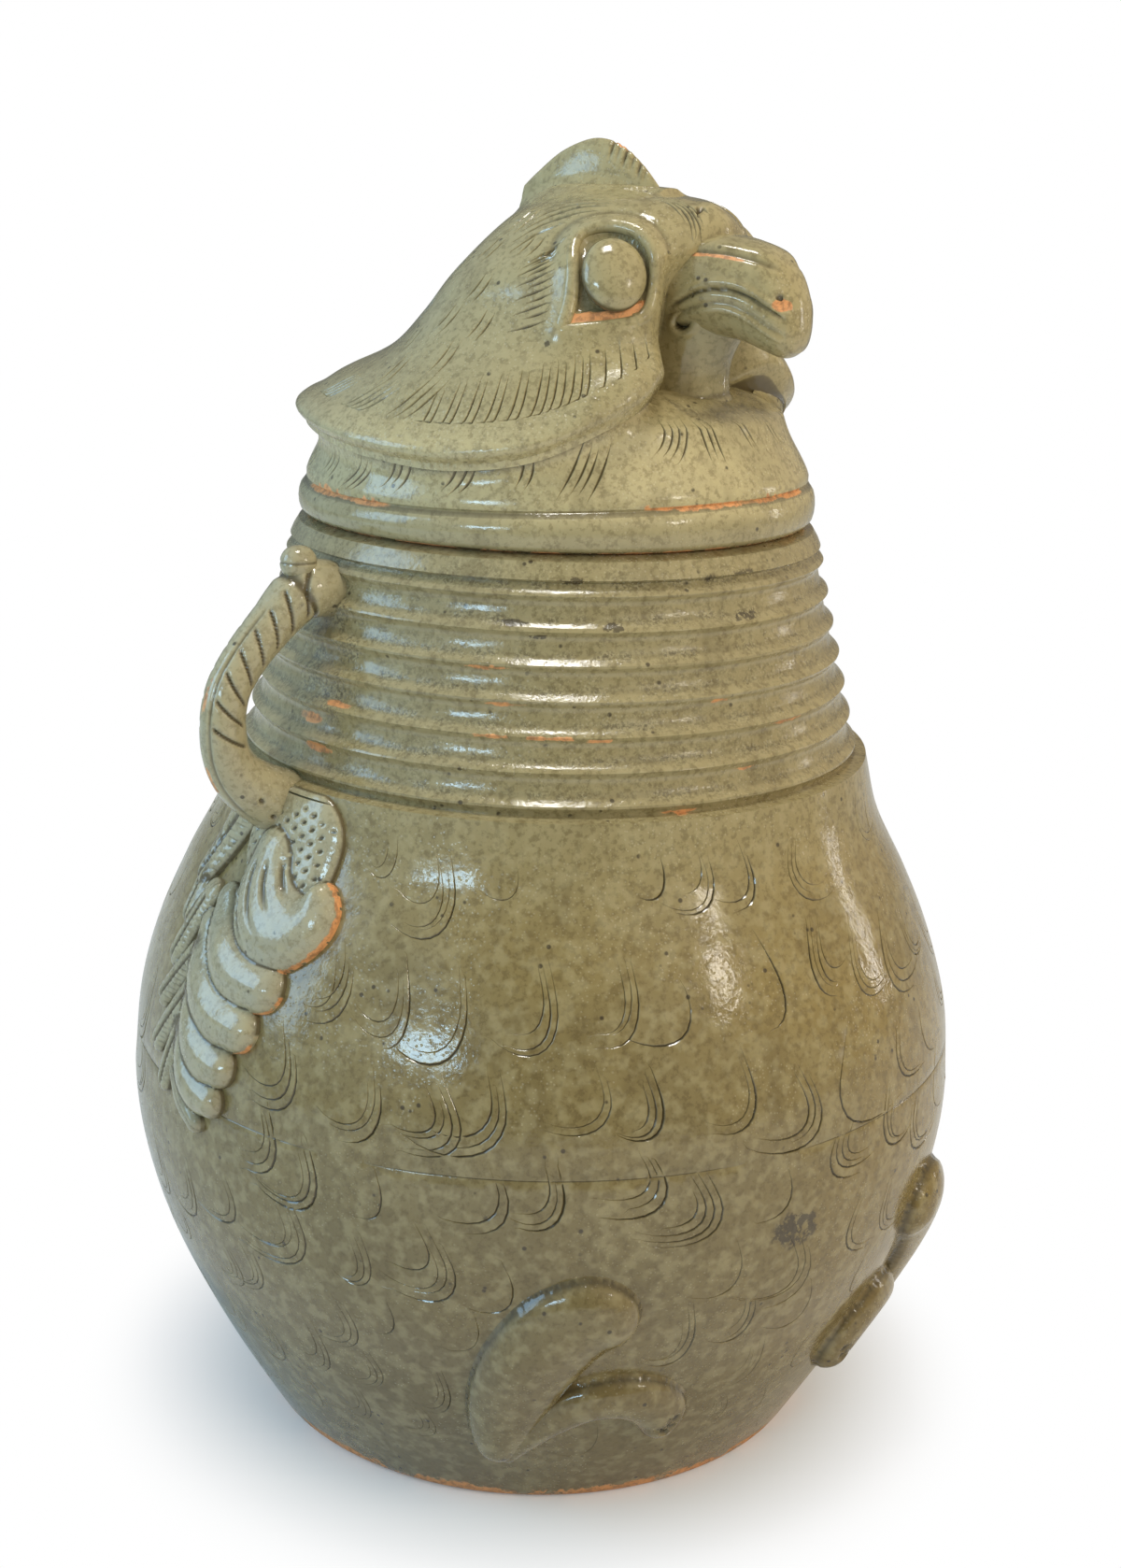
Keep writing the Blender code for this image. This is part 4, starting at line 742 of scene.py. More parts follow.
class Plan:
    """A flat drawing of points and cut lines, which is triangulated and then laid on a form."""

    def __init__(self):
        self.spots = []
        self.joins = []
        self.cuts = []

    def line(self, points, closed=False):
        """Keep an edge of the mesh along these points."""
        start = len(self.spots)
        self.spots.extend((float(x), float(y)) for x, y in points)
        self.joins.extend((start + i, start + i + 1) for i in range(len(points) - 1))
        if closed:
            self.joins.append((start + len(points) - 1, start))

    def border(self, reach, low, high, steps):
        """Keep the edges of a sheet that will be wrapped round a turned form."""
        for y in (low, high):
            self.line([(x, y) for x in np.linspace(-reach, reach, AROUND + 1)])
        for x in (-reach, reach):
            self.line([(x, y) for y in np.linspace(low, high, steps)])

    def cut(self, points, width, depth, taper=0.35):
        """A cut with a sharp bottom along these points, thinning out at both ends."""
        points = np.asarray(points, float)
        share = np.linspace(0, 1, len(points))
        swell = 0.25 + 0.75 * np.clip(np.minimum(share, 1 - share) / taper, 0, 1)
        run = unit(np.gradient(points, axis=0))
        across = np.stack([-run[:, 1], run[:, 0]], axis=1)
        half = CUT_WIDTH * width / 2 * swell
        for side in (-1, 0, 1):
            self.line(points + across * (half * side)[:, None])
        self.cuts.append((points, half, CUT_DEPTH * depth * swell))

    def fill(self, spacing, low, high, keep=None):
        """Even points between the lines and clear of them, where keep says so."""
        step = spacing * math.sqrt(3) / 2
        grid = []
        for row in range(1, int((high[1] - low[1]) / step)):
            shift = spacing / 2 * (row % 2)
            for column in range(1, int((high[0] - low[0]) / spacing)):
                grid.append((low[0] + shift + column * spacing, low[1] + row * step))
        grid = np.array(grid)
        if keep is not None:
            grid = grid[keep(grid[:, 0], grid[:, 1])]
        tree = flat_tree(self.spots)
        for x, y in grid:
            near = tree.find((x, y, 0))[2]
            if near is None or near > spacing * 0.55:
                self.spots.append((float(x), float(y)))

    def triangles(self, keep=None):
        """The drawing's points and triangles, without those whose middle keep refuses."""
        made = delaunay_2d_cdt([Vector(spot) for spot in self.spots], self.joins, [], 0, 1e-6, False)
        plan = np.array([(spot.x, spot.y) for spot in made[0]])
        faces = np.array(made[2])
        if keep is not None:
            middle = plan[faces].mean(axis=1)
            faces = faces[keep(middle[:, 0], middle[:, 1])]
        used, faces = np.unique(faces, return_inverse=True)
        return plan[used], faces.reshape(-1, 3)

    def depth(self, plan):
        """How deep the cuts are at each point."""
        spots, half, deep = (np.concatenate(column) for column in zip(*self.cuts))
        group = np.concatenate([np.full(len(cut[0]), k) for k, cut in enumerate(self.cuts)])
        tree = flat_tree(spots)
        nearest = np.array([tree.find((x, y, 0))[1] for x, y in plan])
        best = np.zeros(len(plan))
        for step in (-1, 1):
            other = np.clip(nearest + step, 0, len(spots) - 1)
            other = np.where(group[other] == group[nearest], other, nearest)
            run = spots[other] - spots[nearest]
            length = np.maximum((run ** 2).sum(axis=1), TINY)
            t = np.clip(((plan - spots[nearest]) * run).sum(axis=1) / length, 0, 1)
            apart = np.linalg.norm(plan - spots[nearest] - run * t[:, None], axis=1)
            width = half[nearest] + (half[other] - half[nearest]) * t
            sink = deep[nearest] + (deep[other] - deep[nearest]) * t
            best = np.maximum(best, sink * np.clip(1 - apart / np.maximum(width, 1e-9), 0, 1))
        return best


def body_radius(z):
    """Radius of the jar's belly and shoulder at a height."""
    z = np.asarray(z, float)
    swell = np.sin(np.clip(z / BELLY_Z, 0, 1) * math.pi / 2)
    low = FOOT_RADIUS + (BELLY_RADIUS - FOOT_RADIUS) * swell
    rise = np.clip((z - BELLY_Z) / (SHOULDER_Z - BELLY_Z), 0, 1)
    heights, drops = zip(*SHOULDER_SHARES)
    high = BELLY_RADIUS - (BELLY_RADIUS - SHOULDER_RADIUS) * smooth(heights, drops, rise)
    return np.where(z < BELLY_Z, low, high)


def on_body(azimuth, z, height):
    """Points above the belly's surface at azimuths from the breast towards the bird's left."""
    step = 0.0005
    radius = body_radius(z) + wobble(azimuth, z)
    slope = (body_radius(z + step) - body_radius(z - step)) / (2 * step)
    scale = 1 / np.hypot(1, slope)
    return round_point(azimuth, radius + height * scale, z - height * slope * scale)


def neck_radius(z):
    """Radius over the neck's ribs at a height."""
    return NECK_BASE_RADIUS + (NECK_TOP_RADIUS - NECK_BASE_RADIUS) * (z - SHOULDER_Z) / NECK_HEIGHT


def limb_rows(shares, half_width, count):
    """A limb's centre line as rows of (u, height, half width)."""
    return chain(shares, count) * (LEG_WIDTH, LEG_HEIGHT, half_width) + (0, LEG_LOW_Z, 0)


def rod_place(rows, u, z):
    """How deep points are inside a tapered rod, how far along it, and on which side of its line.

    The depth is 1 on the line, 0 on the edge and less outside. The side runs from -1 to 1.
    """
    u, z = np.asarray(u, float), np.asarray(z, float)
    best, along, side = np.full(u.shape, -9.0), np.zeros(u.shape), np.zeros(u.shape)
    for number, (start, end) in enumerate(zip(rows[:-1], rows[1:])):
        step = end[:2] - start[:2]
        length = max(math.hypot(*step), TINY)
        t = np.clip(((u - start[0]) * step[0] + (z - start[1]) * step[1]) / length ** 2, 0, 1)
        width = start[2] + (end[2] - start[2]) * t
        off_u, off_z = u - start[0] - step[0] * t, z - start[1] - step[1] * t
        share = 1 - (off_u ** 2 + off_z ** 2) / width ** 2
        better = share > best
        best = np.where(better, share, best)
        along = np.where(better, (number + t) / (len(rows) - 1), along)
        side = np.where(better, (step[0] * off_z - step[1] * off_u) / (length * width), side)
    return best, along, side


def rod_share(rows, u, z):
    """Only the depth inside a tapered rod."""
    return rod_place(rows, u, z)[0]


def wing_lobes():
    """The wing's lobes as (kind, rows of (u, z, half width), relief, bare edge)."""
    return [(kind, chain(rows, 4 * len(rows)) * (WING_WIDTH, WING_HEIGHT, WING_WIDTH) + (0, WING_LOW_Z, 0),
             relief * WING_RELIEF, bare) for kind, relief, bare, rows in WING_SHARES]


def bare_table():
    """Where the belly is bare of wings and legs: a table over azimuth and height."""
    azimuth, z = np.meshgrid(np.linspace(-math.pi, math.pi, BARE_COLUMNS + 1),
                             np.linspace(0, SHOULDER_Z, BARE_ROWS + 1), indexing="ij")
    girth = body_radius(z)
    free = z < SHOULDER_Z - SHOULDER_MARGIN
    for side, middle_deg in LEG_AZIMUTHS_DEG.items():
        u = (np.abs(azimuth) - math.radians(middle_deg)) * girth
        for shares, half_width in ((THIGH_SHARES, THIGH_HALF_WIDTH), (SHIN_SHARES, SHIN_HALF_WIDTH)):
            limb_here = rod_share(limb_rows(shares, half_width + STROKE_MARGIN, 12), u, z) > 0
            free &= ~((azimuth * side > 0) & limb_here)
    u = (math.radians(WING_AZIMUTH_DEG) - np.abs(azimuth)) * girth
    for _, line, _, _ in WING_LOBES:
        free &= rod_share(line + (0, 0, STROKE_MARGIN), u, z) <= 0
    return free


def body_free(azimuth, z):
    """True where the belly is bare at every given place."""
    row = np.clip(np.rint((azimuth + math.pi) / (2 * math.pi) * BARE_COLUMNS).astype(int), 0, BARE_COLUMNS)
    column = np.clip(np.rint(z / SHOULDER_Z * BARE_ROWS).astype(int), 0, BARE_ROWS)
    return bool(BARE[row, column].all())


def feather_strokes(plan):
    """Rows of small nested hooks cut into the belly, which stand for feathers."""
    rng = random.Random(7)
    girth = 2 * math.pi * BELLY_RADIUS
    columns = int(girth / STROKE_PITCH)
    hook = chain(STROKE_SHARES, 15)
    for row, (top, size, strength) in enumerate(STROKE_ROWS):
        for column in range(columns):
            start = ((column + 0.5 * (row % 2) + rng.uniform(-0.26, 0.26)) / columns - 0.5) * girth
            hand = 1 if start < STROKE_PARTING else -1
            grow = size * rng.uniform(0.72, 1.12)
            drop = rng.uniform(-STROKE_DROP, STROKE_DROP)
            lean = rng.uniform(-0.18, 0.16)
            wide = rng.uniform(0.8, 1.5)
            for ring in range(rng.choice((1, 2, 3, 3, 3, 4))):
                scale = grow * (1 - 0.13 * ring)
                line = hook[rng.choice((0, 0, 1, 2)):max(7, int(15 * rng.uniform(0.66, 1.0)))]
                x = start + hand * (scale * wide * line[:, 0] - ring * STROKE_STEP[0]
                                    + lean * scale * line[:, 1])
                y = top + drop + scale * line[:, 1] - ring * STROKE_STEP[1] * rng.uniform(-0.4, 1.8)
                firm = strength * rng.uniform(0.70, 1.2) * (1.15 if ring == 0 else 0.85)
                inside = y.min() > STROKE_LOW_Z and abs(x).max() < girth / 2 - STROKE_SEAM
                if inside and body_free(x / BELLY_RADIUS, y):
                    plan.cut(np.stack([x, y], 1), min(1.15, firm), firm)


def neck_rows():
    """The ribbed neck's outline, with glaze pooled and ash settled between the ribs."""
    z = np.linspace(SHOULDER_Z + NECK_STEP, NECK_TOP_Z, RIB_STEPS * RIB_COUNT + 1)
    turn = (NECK_TOP_Z - RIB_WIDTH / 2 - z) / RIB_PITCH
    phase = turn - np.floor(turn + 0.5)
    ridge = np.exp(-(np.abs(phase) / RIB_CREST) ** 1.7)
    radius = neck_radius(z) - RIB_DEPTH * (1 - ridge)
    return list(zip(radius, z, bumps(phase, RIB_POOL), 0 * z, bumps(phase, RIB_ASH)))


def jar_inside():
    """The inside of the jar from its mouth down to its floor."""
    neck_z = SHOULDER_Z + (LIP_Z - MOUTH_DEPTH - SHOULDER_Z) * np.array((0.8, 0.35))
    belly_z = np.append(np.linspace(SHOULDER_Z, BELLY_Z, 6), BELLY_Z * np.linspace(0.8, 0.2, 4))
    line = [(MOUTH_RADIUS + MOUTH_ROUND, LIP_Z), (MOUTH_RADIUS, LIP_Z - MOUTH_ROUND),
            (MOUTH_RADIUS, LIP_Z - MOUTH_DEPTH), *zip(neck_radius(neck_z) - RIB_DEPTH - JAR_WALL, neck_z),
            *zip(body_radius(belly_z) - JAR_WALL, belly_z),
            (FOOT_RADIUS - JAR_WALL - FLOOR_THICKNESS, FLOOR_THICKNESS), (FLOOR_MIDDLE, FLOOR_THICKNESS),
            (0, FLOOR_THICKNESS)]
    return [(radius, z, 0.2, 0, 0.2) for radius, z in line]


def jar_body(mat):
    """The jar: a carved belly, a ribbed neck, the lip, the hollow inside and the foot."""
    skin, plan = Skin(), Plan()
    reach = math.pi * BELLY_RADIUS
    low, high = FOOT_ROUND * 2, SHOULDER_Z - BELLY_TOP_GAP
    plan.border(reach, low, high, 64)
    feather_strokes(plan)
    for start in np.linspace(-0.47, 0.43, 7):
        span = np.linspace(start, start + 0.13, 60) * 2 * reach
        z = GIRTH_LINE_Z + GIRTH_LINE_SWAY * np.sin(span * 9)
        plan.cut(np.stack([span, z], 1), 0.7, 0.5, 0.1)
    plan.fill(BELLY_MESH, (-reach, low), (reach, high))
    flat, faces = plan.triangles()
    sink = plan.depth(flat)
    azimuth, z = flat[:, 0] / BELLY_RADIUS, flat[:, 1]
    skin.add(on_body(azimuth, z, -sink), faces, pool=np.clip(sink / CUT_DEPTH, 0, 1),
             wear=0.9 * (1 - ramp(z, FOOT_BARE_Z - FOOT_BARE_FADE, FOOT_BARE_Z)),
             **paint(azimuth, z, BELLY_SPOTS))
    turned_patch(skin, [(body_radius(high), high), *neck_rows(), *LIP_ROWS, *jar_inside()], NECK_SPOTS)
    foot = [(body_radius(low), low, 0, 0.9), (body_radius(FOOT_ROUND) - FOOT_STEP, FOOT_ROUND, 0, 0.9)]
    turned_patch(skin, foot + [(radius, z, 0, 1) for radius, z in FOOT_LINE], {})
    finish_piece("jar_body", skin, mat, "jar", 32)


def limb(node, side, shares, half_width, relief, mat):
    """A folded leg's limb, swelling out of the belly with a soft fillet round it."""
    rows = limb_rows(shares, half_width, 40)
    skirt = rows + (0, 0, LIMB_FILLET)
    plan = Plan()
    low = rows[:, :2].min(axis=0) - LIMB_SPACE
    high = rows[:, :2].max(axis=0) + LIMB_SPACE
    plan.line(contour(lambda u, z: rod_share(skirt, u, z), low, high, LIMB_MESH), True)
    for level in (0.0, 0.10, 0.24):
        plan.line(contour(lambda u, z: rod_share(rows, u, z) - level, low, high, CONTOUR_STEP), True)
    plan.fill(LIMB_MESH, low, high, lambda u, z: rod_share(skirt, u, z) > 0.02)
    flat, faces = plan.triangles(lambda u, z: rod_share(skirt, u, z) > 0)
    share = rod_share(rows, *flat.T)
    inside = np.clip(share, 0, 1)
    height = relief * (0.60 * inside ** 0.36 + 0.40 * inside ** 0.70)
    height += LIMB_FOOT_RISE * np.exp(-np.abs(share) / 0.16)
    height -= LIMB_FOOT_DIP * (1 - ramp(rod_share(skirt, *flat.T), 0, 0.16))
    # Pooled glaze and painted shade darken the fillet along the limb's outline.
    pool = bumps(share, LIMB_POOL_AND_SHADE)
    if node.startswith("shin"):
        fore, rise = FOOT_MIDDLE[0] - flat[:, 0], flat[:, 1] - FOOT_MIDDLE[1]
        for turn in np.radians(TOE_TURNS_DEG):
            apart = np.hypot(fore - TOE_RADIUS * math.cos(turn), rise + TOE_RADIUS * math.sin(turn))
            dent = np.clip(1 - apart / TOE_SIZE, 0, 1)
            height -= TOE_DEPTH * dent
            pool = np.maximum(pool, np.clip(1.4 * dent, 0, 1))
        turn = np.arctan2(-rise, fore)
        cut = bell(np.hypot(fore, rise) - TOE_RADIUS * 0.66, TOE_LINE_WIDTH)
        cut = cut * ramp(np.cos(turn - 0.7), 0.55, 0.75)
        height -= TOE_LINE_DEPTH * cut
        pool = np.maximum(pool, 0.6 * cut)
    azimuth = side * (math.radians(LEG_AZIMUTHS_DEG[side]) + flat[:, 0] / body_radius(flat[:, 1]))
    skin = Skin()
    closed_slab(skin, azimuth, flat[:, 1], height, faces, pool=pool)
    finish_piece(node, skin, mat, "jar", 50)


def closed_slab(skin, azimuth, z, height, faces, **marks):
    """Add a relief on the belly and its sunk underside, joined by a wall along the open edge."""
    edges = np.concatenate([faces[:, [0, 1]], faces[:, [1, 2]], faces[:, [2, 0]]])
    _, first, counts = np.unique(np.sort(edges, axis=1), axis=0, return_index=True, return_counts=True)
    rim = edges[first[counts == 1]]
    count = len(azimuth)
    wall_a = np.stack([rim[:, 1], rim[:, 0], rim[:, 0] + count], -1)
    wall_b = np.stack([rim[:, 1], rim[:, 0] + count, rim[:, 1] + count], -1)
    every = np.concatenate([faces, faces[:, ::-1] + count, wall_a, wall_b])
    doubled = {name: np.concatenate([value, value]) for name, value in marks.items()}
    under = on_body(azimuth, z, np.full(count, -SLAB_SINK))
    skin.add(np.concatenate([on_body(azimuth, z, height), under]), every, **doubled)


def contour(level, low, high, step):
    """The longest line round a shape where its level is zero, with evenly spaced points."""
    xs = np.arange(low[0], high[0], step)
    ys = np.arange(low[1], high[1], step)
    value = level(*np.meshgrid(xs, ys, indexing="ij"))
    inside = value > 0
    places, links = {}, {}
    for i in range(len(xs) - 1):
        for j in range(len(ys) - 1):
            corners = ((i, j), (i + 1, j), (i + 1, j + 1), (i, j + 1))
            cut = []
            for a, b in zip(corners, corners[1:] + corners[:1]):
                if inside[a] != inside[b]:
                    a, b = min(a, b), max(a, b)
                    t = value[a] / (value[a] - value[b])
                    places[a, b] = (xs[a[0]] + (xs[b[0]] - xs[a[0]]) * t,
                                    ys[a[1]] + (ys[b[1]] - ys[a[1]]) * t)
                    cut.append((a, b))
            for first, second in zip(cut[::2], cut[1::2]):
                links.setdefault(first, []).append(second)
                links.setdefault(second, []).append(first)
    seen = set()
    best = []
    for start in links:
        loop = []
        onward = [start]
        while onward and onward[0] not in seen:
            loop.append(onward[0])
            seen.add(onward[0])
            onward = [key for key in links[loop[-1]] if key not in seen]
        if len(loop) > len(best):
            best = loop
    points = np.array([places[key] for key in best + best[:1]])
    length = run_lengths(points)
    at = np.linspace(0, length[-1], int(length[-1] / step), endpoint=False)
    return np.stack([np.interp(at, length, column) for column in points.T], 1)


WING_LOBES = wing_lobes()
BARE = bare_table()


def ring_drift(azimuth):
    """How much higher than its frame's place the groove over the lid's ring runs."""
    return RING_DRIFT[0] + RING_DRIFT[1] * np.sin(azimuth + 0.35) + RING_DRIFT[2] * np.cos(2 * azimuth + 0.6)


def dome_height(share):
    """The dome's height at a share of the way from its hole to the band's top."""
    return BAND_HEIGHT + DOME_RISE * (1 - share ** 2.4)


def dome_radius(share):
    """The dome's radius at a share of the way from its hole to the band's top."""
    return DOME_HOLE_RADIUS + (BAND_TOP_RADIUS - DOME_HOLE_RADIUS) * share


def collar_outline():
    """The band and the outer part of the dome as rows of (radius, height)."""
    share = np.linspace(0, 1, BAND_STEPS)
    radius = BAND_BASE_RADIUS + (BAND_TOP_RADIUS - BAND_BASE_RADIUS) * share ** 0.9
    radius += BAND_WAVE * np.sin(2 * math.pi * share) - BAND_FOOT_DIP * bell(share, 0.05)
    band = np.stack([radius, BAND_FOOT_Z + (BAND_HEIGHT - BAND_FOOT_Z) * share], 1)
    share = np.array((0.96, 0.90, 0.80, 0.66))
    return np.vstack([band, np.stack([dome_radius(share), dome_height(share)], 1)])


def band_cuts(plan, profile, run):
    """The short cuts on the lid's band, some of them on both sides."""
    rng = random.Random(11)
    for azimuth_deg, z, lean_deg, length, lines, bend in BAND_MARKS:
        lean = math.radians(lean_deg)
        for side in (1, -1):
            for line in range(lines if side > 0 or azimuth_deg < BAND_SAME_DEG else 0):
                t = np.linspace(-0.5, 0.5, 11)
                along = t * length * rng.uniform(0.8, 1.12)
                bow = bend * length * (0.25 - t * t) * 2
                x = along * math.sin(lean) + bow * math.cos(lean)
                x = x + line * BAND_CUT_GAP * rng.uniform(0.85, 1.1)
                y = along * math.cos(lean) - bow * math.sin(lean) - line * BAND_CUT_STEP
                x = math.radians(azimuth_deg) * BAND_BASE_RADIUS + x
                y = float(np.interp(z, profile[:BAND_STEPS, 1], run[:BAND_STEPS])) + y
                if y.min() > BAND_CUT_LOW and y.max() < run[-1] - BAND_CUT_TOP:
                    plan.cut(np.stack([side * x, y], 1), 1.1, 1.2)


def lid_collar(mat):
    """The lid's thrown ring, its leaning band with cut marks, the dome and the flange."""
    skin, plan = Skin(), Plan()
    reach = math.pi * BAND_BASE_RADIUS
    profile = collar_outline()
    run = run_lengths(profile)
    top = float(run[-1])
    plan.border(reach, 0, top, 16)
    band_cuts(plan, profile, run)
    plan.fill(BAND_MESH, (-reach, 0), (reach, top))
    flat, faces = plan.triangles()
    sink = plan.depth(flat)
    azimuth = flat[:, 0] / BAND_BASE_RADIUS
    tilt = unit(np.gradient(profile, axis=0))
    radius, height, rise, out = (np.interp(flat[:, 1], run, column) for column in (*profile.T, *tilt.T))
    edge_radius, edge_z = head_line(azimuth, np.ones(len(azimuth)))
    hang = edge_z - height
    fillet = np.clip(edge_radius - HOOD_FILLET_GAP - radius, 0, HOOD_FILLET)
    fillet = fillet * bell(hang, np.where(hang > 0, *HOOD_FILLET_WIDTHS))
    height = height + ring_drift(azimuth) * (1 - flat[:, 1] / top) ** 2
    points = round_point(azimuth, radius + wobble(azimuth, height) + (fillet - sink) * out,
                         height - (fillet - sink) * rise)
    # Under the hood's edge the glaze is darkened as painted shade, and ash speckle is added there as well.
    under = bell(edge_z - height - HOOD_SHADE[0], HOOD_SHADE[1])
    skin.add(points, faces, pool=np.clip(0.8 * sink / CUT_DEPTH + 0.42 * under, 0, 1), ash=0.15 + 0.8 * under)

    rows = [(profile[0][0], BAND_FOOT_Z, 0, 0, 0.2, 1), *GROOVE_ROWS]
    for turn in np.radians((75, 50, 25, 0, -25, -50, -75)):
        share = 0.54 + 0.46 * math.sin(turn)
        radius = RING_RADIUS - RING_ROUND + RING_ROUND * math.cos(turn)
        rows.append((radius, RING_HEIGHT * share, 0, 0, 0, share))
    rows.extend(FLANGE_ROWS)
    rows.extend((dome_radius(share), dome_height(share)) for share in (0.0, 0.36, 0.66))
    wear = [(middle_deg, GROOVE_Z + RING_STREAK_RISE + float(ring_drift(math.radians(middle_deg))), wide_deg,
             RING_STREAK_HALF) for middle_deg, wide_deg in RING_STREAKS]
    turned_patch(skin, rows, {"wear": wear}, ring_drift)
    finish_piece("lid_collar", skin, mat, "lid", 32)


def head_key(azimuth_deg):
    """The head's key outline at an azimuth, as radii and heights from the ruff to the crown."""
    knots = [row[0] for row in HEAD_SHARES]
    tables = np.array([row[1] for row in HEAD_SHARES])
    knots = [-knots[1]] + knots + [2 * knots[-1] - knots[-2]]
    tables = np.concatenate([tables[1:2], tables, tables[-2:-1]])
    radii, heights = (np.array([float(smooth(knots, tables[:, station, column], azimuth_deg))
                                for station in range(tables.shape[1])]) for column in (0, 1))
    radii, heights = radii * RUFF_RADIUS, RUFF_Z + heights * HEAD_HEIGHT
    return np.append(radii, 0.0), np.append(heights, RUFF_Z + HEAD_HEIGHT)


def head_tables():
    """The head's radii and heights at each whole degree, evenly spaced from the crown to the ruff's edge."""
    lines = []
    for azimuth_deg in range(0, 181):
        key = head_key(azimuth_deg)
        at = np.linspace(0, len(key[0]) - 1, 161)
        line = np.stack([smooth(range(len(column)), column, at)[::-1] for column in key], 1)
        run = run_lengths(line)
        even = np.linspace(0, run[-1], HEAD_STEPS + 1)
        lines.append([np.interp(even, run, column) for column in line.T])
    half = np.array(lines)
    whole = np.concatenate([half[:0:-1], half])
    return whole[:, 0], whole[:, 1]


HEAD_RADII, HEAD_HEIGHTS = head_tables()


def head_line(azimuth, rho):
    """Radius and height of the head's surface: rho runs from 0 at the crown to 1 at the ruff's edge."""
    turn = (np.degrees(azimuth) + 180) % 360
    low = np.clip(turn.astype(int), 0, 359)
    share = turn - low
    step = np.clip(rho, 0, 1) * HEAD_STEPS
    row = np.clip(step.astype(int), 0, HEAD_STEPS - 1)
    part = step - row
    found = []
    for table in (HEAD_RADII, HEAD_HEIGHTS):
        before = table[low, row] * (1 - part) + table[low, row + 1] * part
        after = table[low + 1, row] * (1 - part) + table[low + 1, row + 1] * part
        found.append(before * (1 - share) + after * share)
    return found[0], found[1]


def head_rho(azimuth_deg, z):
    """Where on the head's outline a height is reached, above the hood's turned-down edge."""
    heights = HEAD_HEIGHTS[int(round(azimuth_deg + 180)) % 360][:HOOD_STEP + 1]
    return float(np.interp(-z, -heights, np.linspace(0, HOOD_STEP / HEAD_STEPS, HOOD_STEP + 1)))


def head_spot(azimuth, rho):
    """Points of the head's surface from plan places, and their outward directions."""

    def place(a, r):
        radius, z = head_line(a, r)
        return round_point(a, radius, z)

    step = 0.012
    around = place(azimuth + step, rho) - place(azimuth - step, rho)
    down = place(azimuth, np.minimum(rho + step, 1)) - place(azimuth, np.maximum(rho - step, 0))
    return place(azimuth, rho), unit(np.cross(down, around))


def line_distance(line, x, y):
    """Distance from each point to a closed line, less than 0 inside it."""
    step = np.roll(line, -1, axis=0) - line
    off_x = x[:, None] - line[None, :, 0]
    off_y = y[:, None] - line[None, :, 1]
    length = np.maximum((step ** 2).sum(axis=1), TINY)
    t = np.clip((off_x * step[:, 0] + off_y * step[:, 1]) / length, 0, 1)
    apart = np.hypot(off_x - t * step[:, 0], off_y - t * step[:, 1]).min(axis=1)
    above = (line[:, 1] > y[:, None]) != (line[:, 1] + step[:, 1] > y[:, None])
    slope = step[:, 0] / np.where(step[:, 1] == 0, TINY, step[:, 1])
    crosses = above & (off_x < slope * off_y)
    return np.where(crosses.sum(axis=1) % 2 == 1, -apart, apart)


def plan_spot(azimuth, rho):
    """Places on the head's flat drawing."""
    return np.stack([HEAD_PLAN_RADIUS * rho * np.sin(azimuth), -HEAD_PLAN_RADIUS * rho * np.cos(azimuth)], -1)


class EyePlane:
    """The flat plane before an eye, with forward and up axes, and the head's surface behind it."""

    def __init__(self, side):
        azimuth = math.radians(side * EYE_AZIMUTH_DEG)
        low, self.centre, high = (self.surface(side * EYE_AZIMUTH_DEG, EYE_Z + lift)
                                  for lift in (-EYE_HEIGHT / 2, 0, EYE_HEIGHT / 2))
        self.up = (high - low) / np.linalg.norm(high - low)
        self.out = np.cross((math.cos(azimuth), math.sin(azimuth), 0.0), self.up)
        self.fore = np.cross(self.up, self.out) * -side
        turn, rho = np.meshgrid(azimuth + np.radians(np.arange(-60, 61, 1.5)), np.arange(0.04, 0.86, 0.008))
        turn, rho = turn.ravel(), rho.ravel()
        here, out = head_spot(turn, rho)
        facing = out @ self.out > 0.12
        self.flat = plan_spot(turn, rho)[facing]
        self.outs = out[facing]
        self.places = self.local(here[facing])
        self.tree = flat_tree(self.places[:, :2])

    def surface(self, azimuth_deg, z):
        """A point of the head at an azimuth and a height over the seat."""
        azimuth = np.array([math.radians(azimuth_deg)])
        return head_spot(azimuth, np.array([head_rho(azimuth_deg, z)]))[0][0]

    def local(self, points):
        """Points as forward, up and outward distances from the eye's centre."""
        off = points - self.centre
        return np.stack([off @ self.fore, off @ self.up, off @ self.out], 1)

    def at(self, fore, up):
        """Plan place, point and outward direction of the head behind a place in the plane."""
        near = self.tree.find_n((fore, up, 0), 4)
        index = [found[1] for found in near]
        weight = np.array([1 / (found[2] + 1e-5) for found in near])
        weight /= weight.sum()
        depth = weight @ self.places[index, 2]
        point = self.centre + self.fore * fore + self.up * up + self.out * depth
        return weight @ self.flat[index], point, weight @ self.outs[index]

    def drawn(self, line):
        """A line in the plane, as places on the head's flat drawing."""
        return np.array([self.at(fore, up)[0] for fore, up in line])


def rim_line(count):
    """The middle line of the rim round an eye, forward and up from its centre."""
    arch = chain(RIM_ARCH, count)
    sill = chain((RIM_ARCH[-1], *RIM_SILL, RIM_ARCH[0]), count // 2)[1:-1]
    return np.vstack([arch, sill])


